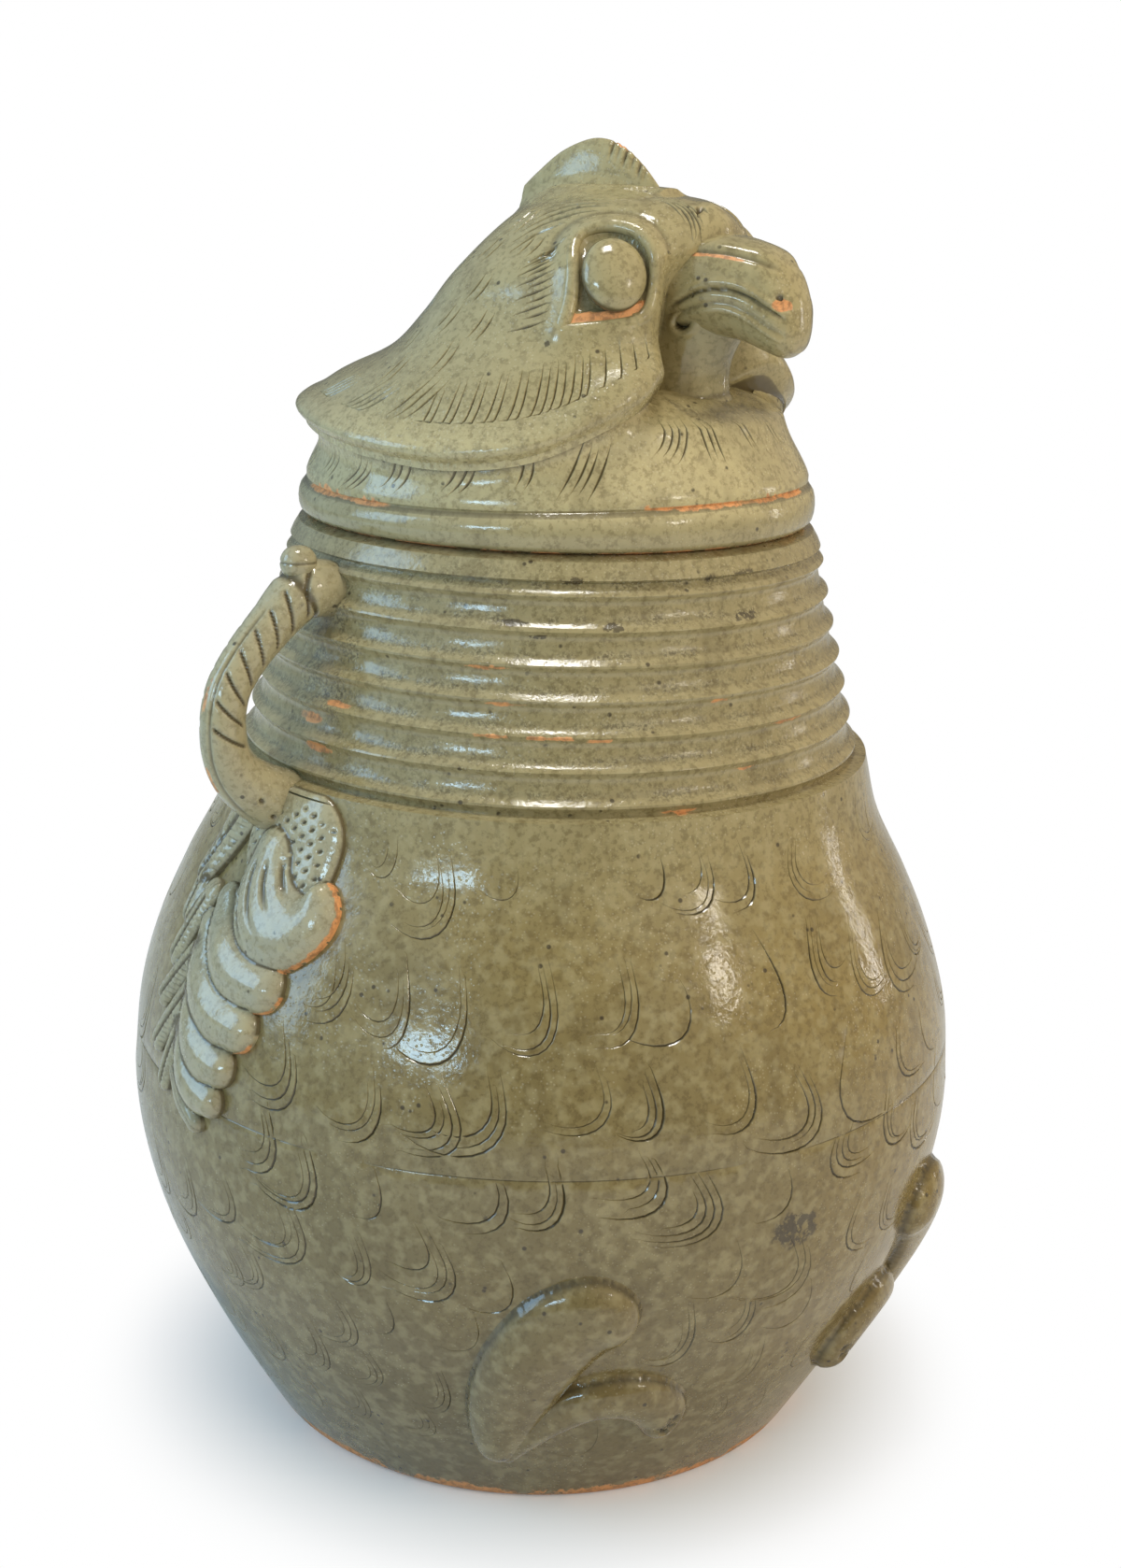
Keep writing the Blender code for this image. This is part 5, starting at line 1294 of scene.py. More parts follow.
def head_cuts(plan, planes):
    """The cut marks on both sides of the head, drawn on its plan."""
    marks = [(bend, *row) for bend, rows in HEAD_MARKS for row in rows]
    for bend, azimuth_deg, z, lean_deg, length, lines, gap in marks:
        lean = math.radians(lean_deg)
        station = int(azimuth_deg + 180)
        heights, radii = (table[station][:HOOD_STEP + 1] for table in (HEAD_HEIGHTS, HEAD_RADII))
        radius = float(np.interp(-z, -heights, radii))
        for line in range(lines):
            t = np.linspace(-0.5, 0.5, 12)
            across = t * length * math.sin(lean) + bend * length * (0.25 - t * t) * 2 + line * gap
            rise = t * length * math.cos(lean) - 0.15 * line * gap
            place_deg = azimuth_deg + np.degrees(across / radius)
            rho = np.array([head_rho(a, max(z + b, HEAD_CUT_LOW_Z)) for a, b in zip(place_deg, rise)])
            for side in (1, -1):
                plan.cut(plan_spot(np.radians(side * place_deg), rho), 1.2, 1.3)
    rim = rim_line(RIM_POINTS)
    for plane in planes:
        for points, width in EYE_LINES:
            plan.cut(plane.drawn(chain(points, 14)), 1.6 * width, 1.9 * width, 0.5)
        leans = np.radians(np.linspace(*FRINGE_LEANS_DEG, len(FRINGE_STARTS)))
        for number, (start, lean) in enumerate(zip(FRINGE_STARTS, leans)):
            root = (rim[int(start)] + rim[int(start + 0.5)]) / 2
            away = np.linspace(FRINGE_GAP, FRINGE_GAP + FRINGE_LENGTH * (1 + 0.2 * (-1) ** number), 8)
            plan.cut(plane.drawn(root + np.outer(away, (-math.cos(lean), math.sin(lean)))), 1.6, 1.6, 0.5)


def face_region(x, y):
    """The part of the head's plan that needs a fine mesh: the face, and the ruff's edge."""
    rho = np.hypot(x, y) / HEAD_PLAN_RADIUS
    azimuth = np.abs(np.arctan2(x, -y))
    return ((azimuth < math.radians(80)) & (rho > 0.10) & (rho < 0.72)) | ((rho > 0.84) & (rho < 0.99))


def head_plan(planes):
    """The head's flat drawing: rings near the ruff's edge, the cuts and the eyes' rims."""
    plan = Plan()
    for rho in (1.0, 0.975, 0.95, 0.925):
        plan.line(plan_spot(full_turn(AROUND), rho), True)
    head_cuts(plan, planes)
    rim = rim_line(RIM_POINTS)
    for plane in planes:
        for grow in (0.0, RIM_GROWTH):
            plan.line(plane.drawn(rim.mean(axis=0) + (rim - rim.mean(axis=0)) * (1 + grow)), True)
    low, high = (-HEAD_PLAN_RADIUS, -HEAD_PLAN_RADIUS), (HEAD_PLAN_RADIUS, HEAD_PLAN_RADIUS)
    plan.fill(FACE_MESH, low, high, face_region)
    plan.fill(HEAD_MESH, low, high, lambda x, y: np.hypot(x, y) < HEAD_PLAN_RADIUS - HEAD_PLAN_EDGE)
    return plan


def ruff_relief(azimuth, rho, folds=RUFF_FOLDS):
    """The hood's folds near its edge, fading out towards the throat."""
    return bumps(rho, folds) * ramp(front_angle(azimuth), *np.radians(RUFF_FADE_DEG))


def brow_relief(x, y, z):
    """The fillet round the comb's root and the swelling between the eyes."""
    along = np.clip((CREST_BACK - y) / CREST_LENGTH, 0, 1)
    places, _, widths = zip(*CREST_SHARES)
    half = CREST_THICKNESS / 2 * np.interp(along, places, widths)
    by_crest = np.abs(y - CREST_BACK + CREST_LENGTH / 2) < CREST_LENGTH / 2 + CREST_FILLET_END
    fillet = CREST_FILLET * np.exp(-(np.clip(np.abs(x) - half, 0, 1) / CREST_FILLET_WIDTH) ** 1.5)
    brow = np.hypot(x, y - BROW_PLACE[0]) / BROW_SIZE[0] + np.abs(z - BROW_PLACE[1]) / BROW_SIZE[1]
    return np.where(by_crest & (z > CREST_FILLET_Z), fillet, 0) + BROW_RISE * ramp(1.6 - brow, 0, 1.4)


def carve_socket(plane, here, relief, pool, wear):
    """Sink an eye's socket inside its rim, with a bank and a furrow round it and a bare sill below."""
    place = plane.local(here)
    near = (np.abs(place) < SOCKET_REACH).all(axis=1)
    fore, up = place[near, 0], place[near, 1]
    apart = line_distance(rim_line(RIM_POINTS), fore, up)
    inside = ramp(-apart, *SOCKET_WALL)
    sill_start = SILL_DROP - SILL_SLOPE * np.clip(fore, 0, 1)
    sill = ramp(-up, sill_start, sill_start + SILL_FADE)
    bank = SOCKET_BANK * bell(np.clip(apart, 0, 1), SOCKET_BANK_WIDTH) * (apart > 0)
    furrow = bell(apart - FURROW_PLACE, FURROW_WIDTH) * ramp(up, *FURROW_FADE)
    sink = (SOCKET_DEPTH - SILL_RISE * sill) * inside + FURROW_DEPTH * furrow
    relief[near] += bank + SOCKET_EDGE * (apart <= 0) - sink
    # Painted shade darkens the socket inside the rim; the furrow holds pooled glaze.
    pool[near] = np.maximum(pool[near], np.clip(0.12 * inside * (1 - sill) + 0.4 * furrow, 0, 1))
    wear[near] = np.maximum(wear[near], 1.4 * sill * ramp(-apart, *SILL_WEAR))


def head_inside(skin):
    """Add the hood's turned edge, the underside and the hollow of the head."""
    ring, ones = full_turn(AROUND), np.ones(AROUND)
    lip_radius, lip_z = head_line(ring, ones)
    edge, out = head_spot(ring, ones)
    sill = RUFF_Z + HEAD_INNER_DROP
    inner = []
    for turn in ring:
        line = np.stack(head_line(np.full(60, turn), np.linspace(0.0, 0.86, 60)), 1)
        run = unit(np.gradient(line, axis=0))
        line = line + HEAD_WALL * np.stack([run[:, 1], -run[:, 0]], 1)
        below = np.flatnonzero(line[:, 1] < sill)
        at = np.linspace(max(below[0], 2) if len(below) else 59, 1, 16)
        columns = (np.maximum(line[:, 0], 0), line[:, 1])
        line = np.stack([np.interp(at, range(60), column) for column in columns], 1)
        line[0, 1] = sill
        inner.append(line)
    inner = np.array(inner)
    rows = [edge + out * ruff_relief(ring, 1.0, RUFF_FOLDS[-1:])[:, None]]
    for share in (0.06, 0.3, 0.7):
        radius = lip_radius + (inner[:, 0, 0] - lip_radius) * share
        height = lip_z + (inner[:, 0, 1] - lip_z) * share + HOOD_EDGE_ROUND * math.sin(share * math.pi)
        rows.append(round_point(ring, radius, height))
    rows.extend(round_point(ring, *inner[:, row].T) for row in range(inner.shape[1]))
    hollow = len(rows) - 4
    top = (0, 0, RUFF_Z + HEAD_HEIGHT - HEAD_WALL)
    last_row = np.arange((len(rows) - 1) * AROUND, len(rows) * AROUND)
    every = np.concatenate([grid_faces(len(rows), AROUND), fan_faces(len(rows) * AROUND, last_row)])
    # Painted shade: the underside of the hood's edge and the hollow inside the head are darkened.
    shade = np.repeat([0.1, 0.5, 0.8, 0.9] + [0.9] * hollow, AROUND)
    wear = np.repeat([0.0, 0.0, 0.0, 0.4] + [0.6] * hollow, AROUND)
    skin.add(np.vstack([*rows, top]), every, pool=np.append(shade, 0.9), wear=np.append(wear, 0.6))


def head(mat, planes):
    """The hollow head: cheeks, eye sockets, brow, hood and flaring ruff with its cut feathers."""
    plan = head_plan(planes)
    flat, faces = plan.triangles(lambda x, y: np.hypot(x, y) < HEAD_PLAN_RADIUS)
    sink = plan.depth(flat)
    azimuth = np.arctan2(flat[:, 0], -flat[:, 1])
    rho = np.hypot(*flat.T) / HEAD_PLAN_RADIUS
    here, out = head_spot(azimuth, rho)
    relief = ruff_relief(azimuth, rho) + brow_relief(*here.T)
    pool = 0.72 * np.clip(sink / (CUT_DEPTH * 1.3), 0, 1)
    wear = np.zeros(len(flat))
    for plane in planes:
        carve_socket(plane, here, relief, pool, wear)
    skin = Skin()
    skin.add(here + out * (relief - sink)[:, None], faces, pool=pool, wear=wear,
             ash=0.30 * ramp(rho, 0.55, 0.9), **paint(azimuth, here[:, 2], HEAD_SPOTS))
    head_inside(skin)
    finish_piece("head", skin, mat, "lid", 32)


def ring_skin(rows, pool, wear=(0,), ends=(0, 0)):
    """A skin over rings of points, closed by a point at each end. Marks are rows of one ring each."""
    rows = np.array(rows)
    count = rows.shape[1]
    first_tip = len(rows) * count
    faces = [grid_faces(len(rows), count), fan_faces(first_tip, np.arange(count))[:, ::-1],
             fan_faces(first_tip + 1, np.arange(first_tip - count, first_tip))]
    skin = Skin()
    marks = {}
    for name, values, tips in (("pool", np.clip(pool, 0, 1), ends), ("wear", np.asarray(wear), (0, 0))):
        spread = np.broadcast_to(values if values.ndim > 1 else values[:, None], rows.shape[:2])
        marks[name] = np.append(spread.ravel(), tips)
    skin.add(np.vstack([*rows, rows[0].mean(axis=0), rows[-1].mean(axis=0)]), np.concatenate(faces), **marks)
    return skin


def crest(mat):
    """The comb along the crown, with short nicks across its front edge."""
    crown = RUFF_Z + HEAD_HEIGHT
    base = crown - CREST_ROOT
    rows, pool, wear = [], [], []
    turns = full_turn(64)
    lift = (1 + np.cos(turns)) / 2
    edge = ramp(lift, 0.72, 0.95) * (np.sin(turns) < 0.2)
    taper = 1 - 0.55 * lift + 0.35 * ramp(0.62 - lift, 0, 0.3)
    for along, rise, thickness in chain(CREST_SHARES, 150):
        nick = edge * bumps(along, CREST_NICKS)
        top = crown + CREST_RISE * rise - CREST_TOP_GAP
        x = CREST_THICKNESS / 2 * thickness * np.sin(turns) * taper * (1 - 0.20 * nick)
        z = base + (top - base) * lift - CREST_NICK_DEPTH * nick
        rows.append(np.stack([x, np.full(len(x), CREST_BACK - CREST_LENGTH * along), z], 1))
        pool.append(0.8 * nick)
        wear.append(1.1 * ramp(lift, 0.975, 1.0) * bell(along - 0.70, 0.05))
    finish_piece("crest", ring_skin(rows, pool, wear), mat, "lid", 50)


def beak(mat):
    """The closed, hooked beak with its creased ridge, its mouth between two lips and its holes."""
    turns = full_turn(160)
    side, rise = (np.sign(wave) * np.abs(wave) ** 0.85 for wave in (np.sin(turns), np.cos(turns)))
    flank = ramp(np.abs(side), 0.10, 0.55)
    rows, pool, wear = [], [], []
    for along, middle, half_height, half_width in np.vstack([chain(BEAK_SHARES, 110), BEAK_TIP]):
        x = BEAK_WIDTH * half_width * side
        y = np.full(len(x), -(BEAK_START + BEAK_REACH * along))
        z = BEAK_BASE_Z + BEAK_HEIGHT * (middle + half_height * rise)
        lines = (MOUTH_LINE, LIP_LINE, CULMEN_LINE)
        upper, lower, crease = (z - float(smooth(*line, along)) for line in lines)
        open_part = flank * ramp(along, 0.10, 0.22) * (1 - ramp(along, 0.90, 0.97))
        groove = bell(upper, MOUTH_WIDTH) * open_part
        seam = bell(lower, SEAM_WIDTH) * open_part
        ridge = bell(crease, CREASE_WIDTH) * flank * (1 - ramp(along, 0.80, 0.92))
        push = (bumps(upper, MOUTH_SWELL) + bumps(lower, LIP_SWELL)) * open_part
        push = push + bumps(crease, CULMEN_SWELL) * flank
        push = push + CERE_RISE * bell(along - 0.16, 0.07) * ramp(z, *CERE_HEIGHTS)
        push = push - MOUTH_CUT * groove - SEAM_CUT * seam - CREASE_CUT * ridge
        dark = 0.60 * groove + 0.30 * seam + 0.45 * ridge
        bare = bumps(crease, CULMEN_WEAR) * flank * ramp(along, 0.12, 0.2) * (1 - ramp(along, 0.57, 0.72))
        for spot_along, spot_z, size, depth, hand, clay in BEAK_HOLES:
            round_off = np.hypot((along - spot_along) * BEAK_REACH, z - spot_z) / size
            dent = np.clip(1.25 - 1.25 * round_off ** 2, 0, 1) * (side * hand > 0)
            push = push - depth * dent
            # A hole without bare clay is darkened in full, a painted shade in the hole.
            dark = np.maximum(dark * (1 - clay * dent), (1 - clay) * dent)
            bare = np.maximum(bare, 2.0 * clay * dent)
        way = unit(np.stack([side, 0 * side, rise * half_height / max(half_width, 0.01)], 1))
        rows.append(np.stack([x, y, z], 1) + way * push[:, None])
        pool.append(dark)
        wear.append(bare)
    finish_piece("beak", ring_skin(rows, pool, wear), mat, "lid", 60)


def throat(mat):
    """The round column under the beak, spreading into the mouth's corners above and the collar below."""
    turns = full_turn(144)
    front, back = np.clip(-np.cos(turns), 0, 1), np.clip(np.cos(turns), 0, 1)
    rows, pool = [], []
    for share in np.linspace(0, 1, 80):
        spread = bumps(share, THROAT_SPREAD) * (1 + 0.7 * back) + bumps(share, THROAT_CHIN) * front ** 1.5
        folds = bumps(share, THROAT_FOLDS)
        r = THROAT_RADIUS * (0.90 + spread) - THROAT_FOLD_DEPTH * folds * front
        r = r + THROAT_WAVE * np.sin(5 * turns)
        z = THROAT_TOP_Z + (THROAT_LOW_Z - THROAT_TOP_Z) * share + THROAT_LEAN * np.sin(turns) * share
        across = (np.degrees(front_angle(turns)) - MOUTH_HOLE[0]) * math.radians(THROAT_RADIUS)
        apart = np.hypot(across, z - MOUTH_HOLE[1]) / MOUTH_HOLE[2]
        hole = np.clip(1.3 - 1.3 * apart ** 2, 0, 1)
        r = r + MOUTH_HOLE_RIM * bell(apart - 1.5, 0.5) - MOUTH_HOLE_DEPTH * hole
        y = THROAT_RADIUS * 0.14 * math.sin(share * math.pi) - THROAT_REACH
        rows.append(np.stack([r * np.sin(turns), y + r * np.cos(turns), z], 1))
        # The whole throat is darkened a little. Its back, which faces the collar, and its foot are darkened
        # more as painted shade, the folds hold pooled glaze, and the mouth's corner holes are darkened in
        # full as painted shade.
        shade = 0.35 * folds * front + 0.35 * ramp(share, 0.93, 1.0)
        pool.append(np.maximum(0.14 + shade + 0.4 * ramp(np.cos(turns), 0.1, 0.7), 1.5 * hole))
    finish_piece("throat", ring_skin(rows, pool), mat, "lid", 50)


def eye(plane, label, mat):
    """The eyeball in its socket, a plain smooth dome."""
    turns = full_turn(72)
    rows, pool = [], []
    for angle in np.linspace(0.05, math.pi - 0.05, 44):
        ring = math.sin(angle) * (1 + 0.010 * np.sin(2 * turns + 0.6))
        spots = plane.centre + plane.out * (EYE_DEPTH / 2 * math.cos(angle))
        spots = spots + np.outer(EYEBALL_WIDTH / 2 * ring * np.sin(turns), plane.fore)
        rows.append(spots + np.outer(EYE_HEIGHT / 2 * ring * np.cos(turns), plane.up))
        # Painted shade darkens the ball's base and back where it sinks into the socket.
        pool.append(0.85 * ramp(angle, 1.15, 1.55))
    finish_piece("eye_" + label, ring_skin(rows, pool, ends=(0, 1)), mat, "lid", 60)


def eyelid(plane, label, mat):
    """The raised rim round the eye: an arch over it and a broad sill below, with a drawn-out corner."""
    line = rim_line(120)
    _, centres, outs = (np.array(column) for column in zip(*(plane.at(fore, up) for fore, up in line)))
    outs = unit(outs)
    for _ in range(3):
        centres, outs = ((np.roll(part, 1, axis=0) + 2 * part + np.roll(part, -1, axis=0)) / 4
                         for part in (centres, outs))
    away = unit(np.cross(unit(np.roll(centres, -1, axis=0) - np.roll(centres, 1, axis=0)), outs))
    low = line[:, 1] < EYELID_LOW
    radius = EYELID_THICKNESS / 2 * (0.88 + 0.07 * np.sin(3 * full_turn(len(line)) + 0.7) - 0.12 * low)
    rows, pool = [], []
    for turn in np.append(full_turn(28), 0):
        off = away * (radius * math.sin(turn) * 1.05)[:, None]
        rows.append(centres + off + outs * (radius * math.cos(turn) * 0.92 + EYELID_LIFT)[:, None])
        # Painted shade darkens the rim's underside, which faces the head.
        pool.append(np.full(len(line), 0.7 * ramp(-math.cos(turn), 0.0, 0.7)))
    skin = Skin()
    skin.add(np.vstack(rows), grid_faces(len(rows), len(line)), pool=np.concatenate(pool))
    finish_piece("eyelid_" + label, skin, mat, "lid", 60)


def boss_pits(u, z, inside, across):
    """Small pits in slanting rows on the wing's boss."""
    turn = math.radians(PIT_TURN_DEG)
    b = (z * math.cos(turn) - u * math.sin(turn)) / PIT_PITCH[1]
    a = (u * math.cos(turn) + z * math.sin(turn)) / PIT_PITCH[0] + 0.5 * (np.floor(b) % 2)
    off = [(part - np.floor(part) - 0.5) * pitch / size
           for part, pitch, size in zip((a, b), PIT_PITCH, PIT_SIZE)]
    return np.clip(1 - np.hypot(*off) ** 2, 0, 1) * ramp(inside, 0.10, 0.22) * ramp(0.62 - across, 0, 0.12)


def lobe_relief(kind, u, z, rise, inside, along, across):
    """A wing lobe's height with the marks of its kind, and how dark the glaze pools in them."""
    if kind == "boss":
        pit = boss_pits(u, z, inside, across)
        rim = bell(across + 0.84, 0.10) * ramp(inside, 0.0, 0.1)
        seam = bell(across + 0.66, 0.05) * ramp(inside, 0.1, 0.3)
        return rise - PIT_DEPTH * pit + BOSS_RIM * rim - BOSS_SEAM * seam, np.maximum(pit, 0.8 * seam)
    if kind == "scroll":
        groove = np.clip(-0.3 - np.cos(across * 4.4 * math.pi + 0.5), 0, 1) / 0.7 * ramp(inside, 0.02, 0.2)
        groove = groove * ramp(0.50 - along, 0, 0.26) * ramp(along, 0.03, 0.14)
        return rise - SCROLL_GROOVE * groove, 0.7 * groove
    if kind == "lobe":
        rise = rise * (0.55 + 0.45 * ramp(along, 0.0, 0.55)) * (1 - 0.16 * np.clip(across, 0, 1))
        fold = bell(across - 0.74, 0.10) * ramp(inside, 0.05, 0.2) * ramp(0.80 - along, 0, 0.35)
        return rise - LOBE_FOLD * fold, 0.5 * fold
    if kind == "tip":
        dark = 0.5 * bell(across, 0.1)
        return rise - TIP_VEIN * dark, dark
    vein = bell(across, 0.13) * ramp(inside, 0.05, 0.2) * ramp(along, 0.02, 0.12)
    barbs = np.clip(np.sin((along * 11 + np.abs(across) * 1.8) * 2 * math.pi), 0, 1) ** 3
    barbs = barbs * ramp(inside, 0.1, 0.35)
    return rise - FEATHER_VEIN * vein - FEATHER_BARB * barbs, np.maximum(vein, 0.4 * barbs)


def wing(side, label, mat):
    """A wing: a pitted boss, a ridged scroll, drop-shaped lobes and leaf-shaped rear feathers."""
    low = (WING_SPAN[0] * WING_WIDTH, WING_LOW_Z - WING_LOW_SPACE)
    high = (WING_SPAN[1] * WING_WIDTH, SHOULDER_Z + WING_TOP_SPACE)

    def level(u, z):
        best = np.max([rod_share(line, u, z) for _, line, _, _ in WING_LOBES], axis=0)
        return np.minimum(best, (SHOULDER_Z - WING_TOP_GAP - z) / WING_TOP_FADE)

    plan = Plan()
    plan.line(contour(level, low, high, CONTOUR_STEP), True)
    for _, line, _, _ in WING_LOBES:
        ring = contour(lambda u, z: rod_share(line, u, z) - 0.015, low, high, CONTOUR_STEP)
        plan.line(ring[ring[:, 1] < SHOULDER_Z - WING_RING_GAP])
    plan.fill(WING_MESH, low, high, lambda u, z: level(u, z) > 0.015)
    flat, faces = plan.triangles(lambda u, z: level(u, z) > -0.004)
    u, z = flat.T
    height = np.full(len(u), WING_FLOOR)
    second, pool, wear = np.zeros((3, len(u)))
    for kind, line, relief, bare in WING_LOBES:
        share, along, across = rod_place(line, u, z)
        inside = np.clip(share, 0, 1)
        rise = WING_EDGE + (relief - WING_EDGE) * inside ** 0.55
        rise, dark = lobe_relief(kind, u, z, rise, inside, along, across)
        worn = bare * ramp(0.16 - inside, 0, 0.12) * (across < 0) * (along > 0.55)
        wins = (share > 0) & (rise > height)
        second = np.where(wins, height, np.where(share > 0, np.maximum(second, rise), second))
        pairs = ((rise, height), (dark, pool), (worn, wear))
        height, pool, wear = (np.where(wins, new, old) for new, old in pairs)
    # Painted shade: the crease where one lobe overlaps another and the wing's outline against the belly are
    # darkened.
    pool = np.maximum(pool, 0.85 * bell(height - second, WING_CREASE))
    edge = 1 - ramp(level(u, z), 0.0, 0.06)
    pool = np.clip(np.maximum(pool, 0.60 * edge) - 0.7 * wear * edge, 0, 1)
    azimuth = side * (math.radians(WING_AZIMUTH_DEG) - u / body_radius(z))
    skin = Skin()
    closed_slab(skin, azimuth, z, np.maximum(height, WING_FLOOR), faces, pool=pool, wear=wear)
    finish_piece("wing_" + label, skin, mat, "jar", 48)


def handle_line(count):
    """The carrying loop's centre line as rows of (distance from the axis, height, radius)."""
    rows = chain(HANDLE_SHARES, 18)
    neck, low = neck_radius(HANDLE_TOP_Z), neck_radius(HANDLE_LOW_Z)
    rows = rows * (HANDLE_REACH + low - neck, HANDLE_TOP_Z - HANDLE_LOW_Z, HANDLE_RADIUS)
    return chain(rows + (neck, HANDLE_LOW_Z, 0), count)


def swing(points, side):
    """Points drawn at a bird's side, turned back to where the loop sits."""
    turn = -side * math.radians(HANDLE_AZIMUTH_DEG - 90)
    x, y, z = points.T
    return np.stack([x * math.cos(turn) + y * math.sin(turn), y * math.cos(turn) - x * math.sin(turn), z], 1)


def handle(side, label, mat):
    """A rolled loop with slanting cuts along it, a knob at the neck and a flared lower end."""
    line = handle_line(190)
    run = np.gradient(line[:, :2], axis=0)
    length = np.append(0, np.cumsum(np.linalg.norm(run, axis=1)[:-1]))
    turns = full_turn(96)
    rise, fore = np.sin(turns), np.cos(turns)
    band = ramp(rise, -0.70, -0.45) * ramp(0.88 - rise, 0, 0.12) * ramp(np.abs(fore), 0.12, 0.3)
    rows, pool, wear = [], [], []
    for place, (out, z, radius), (run_out, run_z) in zip(length, line, unit(run)):
        share = place / length[-1]
        slant = place - HANDLE_CUT_SLANT * (0.6 - np.arcsin(rise))
        away = np.min([np.abs(slant - start * length[-1]) for start in HANDLE_CUTS], axis=0)
        cut = np.clip(1 - away / HANDLE_CUT_WIDTH, 0, 1) * band
        seam = bell(rise - 0.90, 0.035) * ramp(share, 0.24, 0.34) * ramp(0.95 - share, 0, 0.1)
        knob = bell(share - 0.185, 0.012)
        apart = [np.hypot((share - spot) * length[-1], (turns - turn) * radius) for spot, turn in HANDLE_PITS]
        dent = np.clip(1 - (np.min(apart, axis=0) / HANDLE_PIT_RADIUS) ** 2, 0, 1)
        around = radius - HANDLE_CUT_DEPTH * (cut + dent) - HANDLE_SEAM * seam - HANDLE_KNOB * knob
        ring = np.stack([side * (out - run_z * around * rise), -around * fore,
                         z + run_out * around * rise], 1)
        rows.append(swing(ring, side))
        pool.append(np.max([cut, 0.5 * seam, 0.7 * knob + 0 * cut, dent], axis=0))
        cap = 1.6 * bell(share - 0.055, 0.02) * ramp(-rise, 0.2, 0.7)
        wear.append(np.maximum(0.55 * ramp(rise, 0.97, 1.0) * (0.5 < share < 0.8), cap))
    # The caps at both ends, where the loop runs into the neck and the wing, are darkened a little as painted
    # shade.
    finish_piece("handle_" + label, ring_skin(rows, pool, wear, (0.3, 0.3)), mat, "jar", 48)


def bud(side, label, mat):
    """The bud of clay pressed on the loop's shoulder, with a seam round its foot."""
    centre = np.array([side * (neck_radius(HANDLE_TOP_Z) + BUD_OUT), 0, HANDLE_TOP_Z + BUD_LIFT])
    turns = full_turn(56)
    rows, pool = [], []
    for angle in np.linspace(0.05, math.pi - 0.05, 40):
        lift = math.cos(angle)
        seam = bell(lift - 0.08, 0.07)
        r = BUD_RADIUS * (math.sin(angle) ** 0.85 * (1 + 0.03 * np.sin(3 * turns + 1)) - 0.05 * seam)
        ring = centre + np.stack([r * np.sin(turns), r * np.cos(turns), BUD_RISE * lift + 0 * turns], 1)
        rows.append(swing(ring, side))
        pool.append(0.6 * seam)
    finish_piece("handle_bud_" + label, ring_skin(rows, pool), mat, "jar", 60)


class Nodes:
    """A short way to write the nodes of a material or a world."""

    def __init__(self, owner, coord):
        owner.use_nodes = True
        self.tree = owner.node_tree
        self.coord = self.node("TexCoord").outputs[coord]

    def node(self, kind, inputs=(), **settings):
        """A new node with its settings, and with its inputs set or linked."""
        made = self.tree.nodes.new("ShaderNode" + kind)
        for name, value in settings.items():
            setattr(made, name, value)
        for key, value in dict(inputs).items():
            self.link(value, made.inputs[key])
        return made

    def link(self, source, socket):
        """Feed a socket from another node's output, a colour or a number."""
        if isinstance(source, bpy.types.NodeSocket):
            self.tree.links.new(source, socket)
        elif socket.type == "RGBA":
            socket.default_value = (*source, 1.0)
        else:
            socket.default_value = source

    def math(self, kind, a, b, clamp=False):
        """A sum, difference or product."""
        return self.node("Math", {0: a, 1: b}, operation=kind, use_clamp=clamp).outputs[0]

    def times(self, a, b):
        """A product."""
        return self.math("MULTIPLY", a, b)

    def plus(self, a, b, clamp=False):
        """A sum."""
        return self.math("ADD", a, b, clamp)

    def spread(self, value, low, high, to_low=0.0, to_high=1.0, kind="SMOOTHSTEP"):
        """A soft step from to_low to to_high while the value goes from low to high."""
        inputs = enumerate((value, low, high, to_low, to_high))
        return self.node("MapRange", inputs, interpolation_type=kind).outputs[0]

    def noise(self, scale, detail=3.0, rough=0.55, warp=0.0, vector=None):
        """Cloudy noise from 0 to 1."""
        inputs = {"Vector": vector or self.coord, "Scale": scale, "Detail": detail, "Roughness": rough,
                  "Distortion": warp}
        return self.node("TexNoise", inputs).outputs[0]

    def cells(self, scale):
        """Distance from the middle of the nearest of many scattered cells."""
        inputs = {"Vector": self.coord, "Scale": scale}
        return self.node("TexVoronoi", inputs, feature="F1").outputs["Distance"]

    def mark(self, name):
        """One of the marks that the skins carry."""
        return self.node("Attribute", attribute_name=name).outputs["Fac"]

    def mix(self, factor, a, b):
        """One colour over another."""
        return self.node("Mix", {0: factor, 6: a, 7: b}, data_type="RGBA").outputs[2]

    def axis(self, key):
        """One coordinate of the place."""
        return self.node("SeparateXYZ", {0: self.coord}).outputs[key]


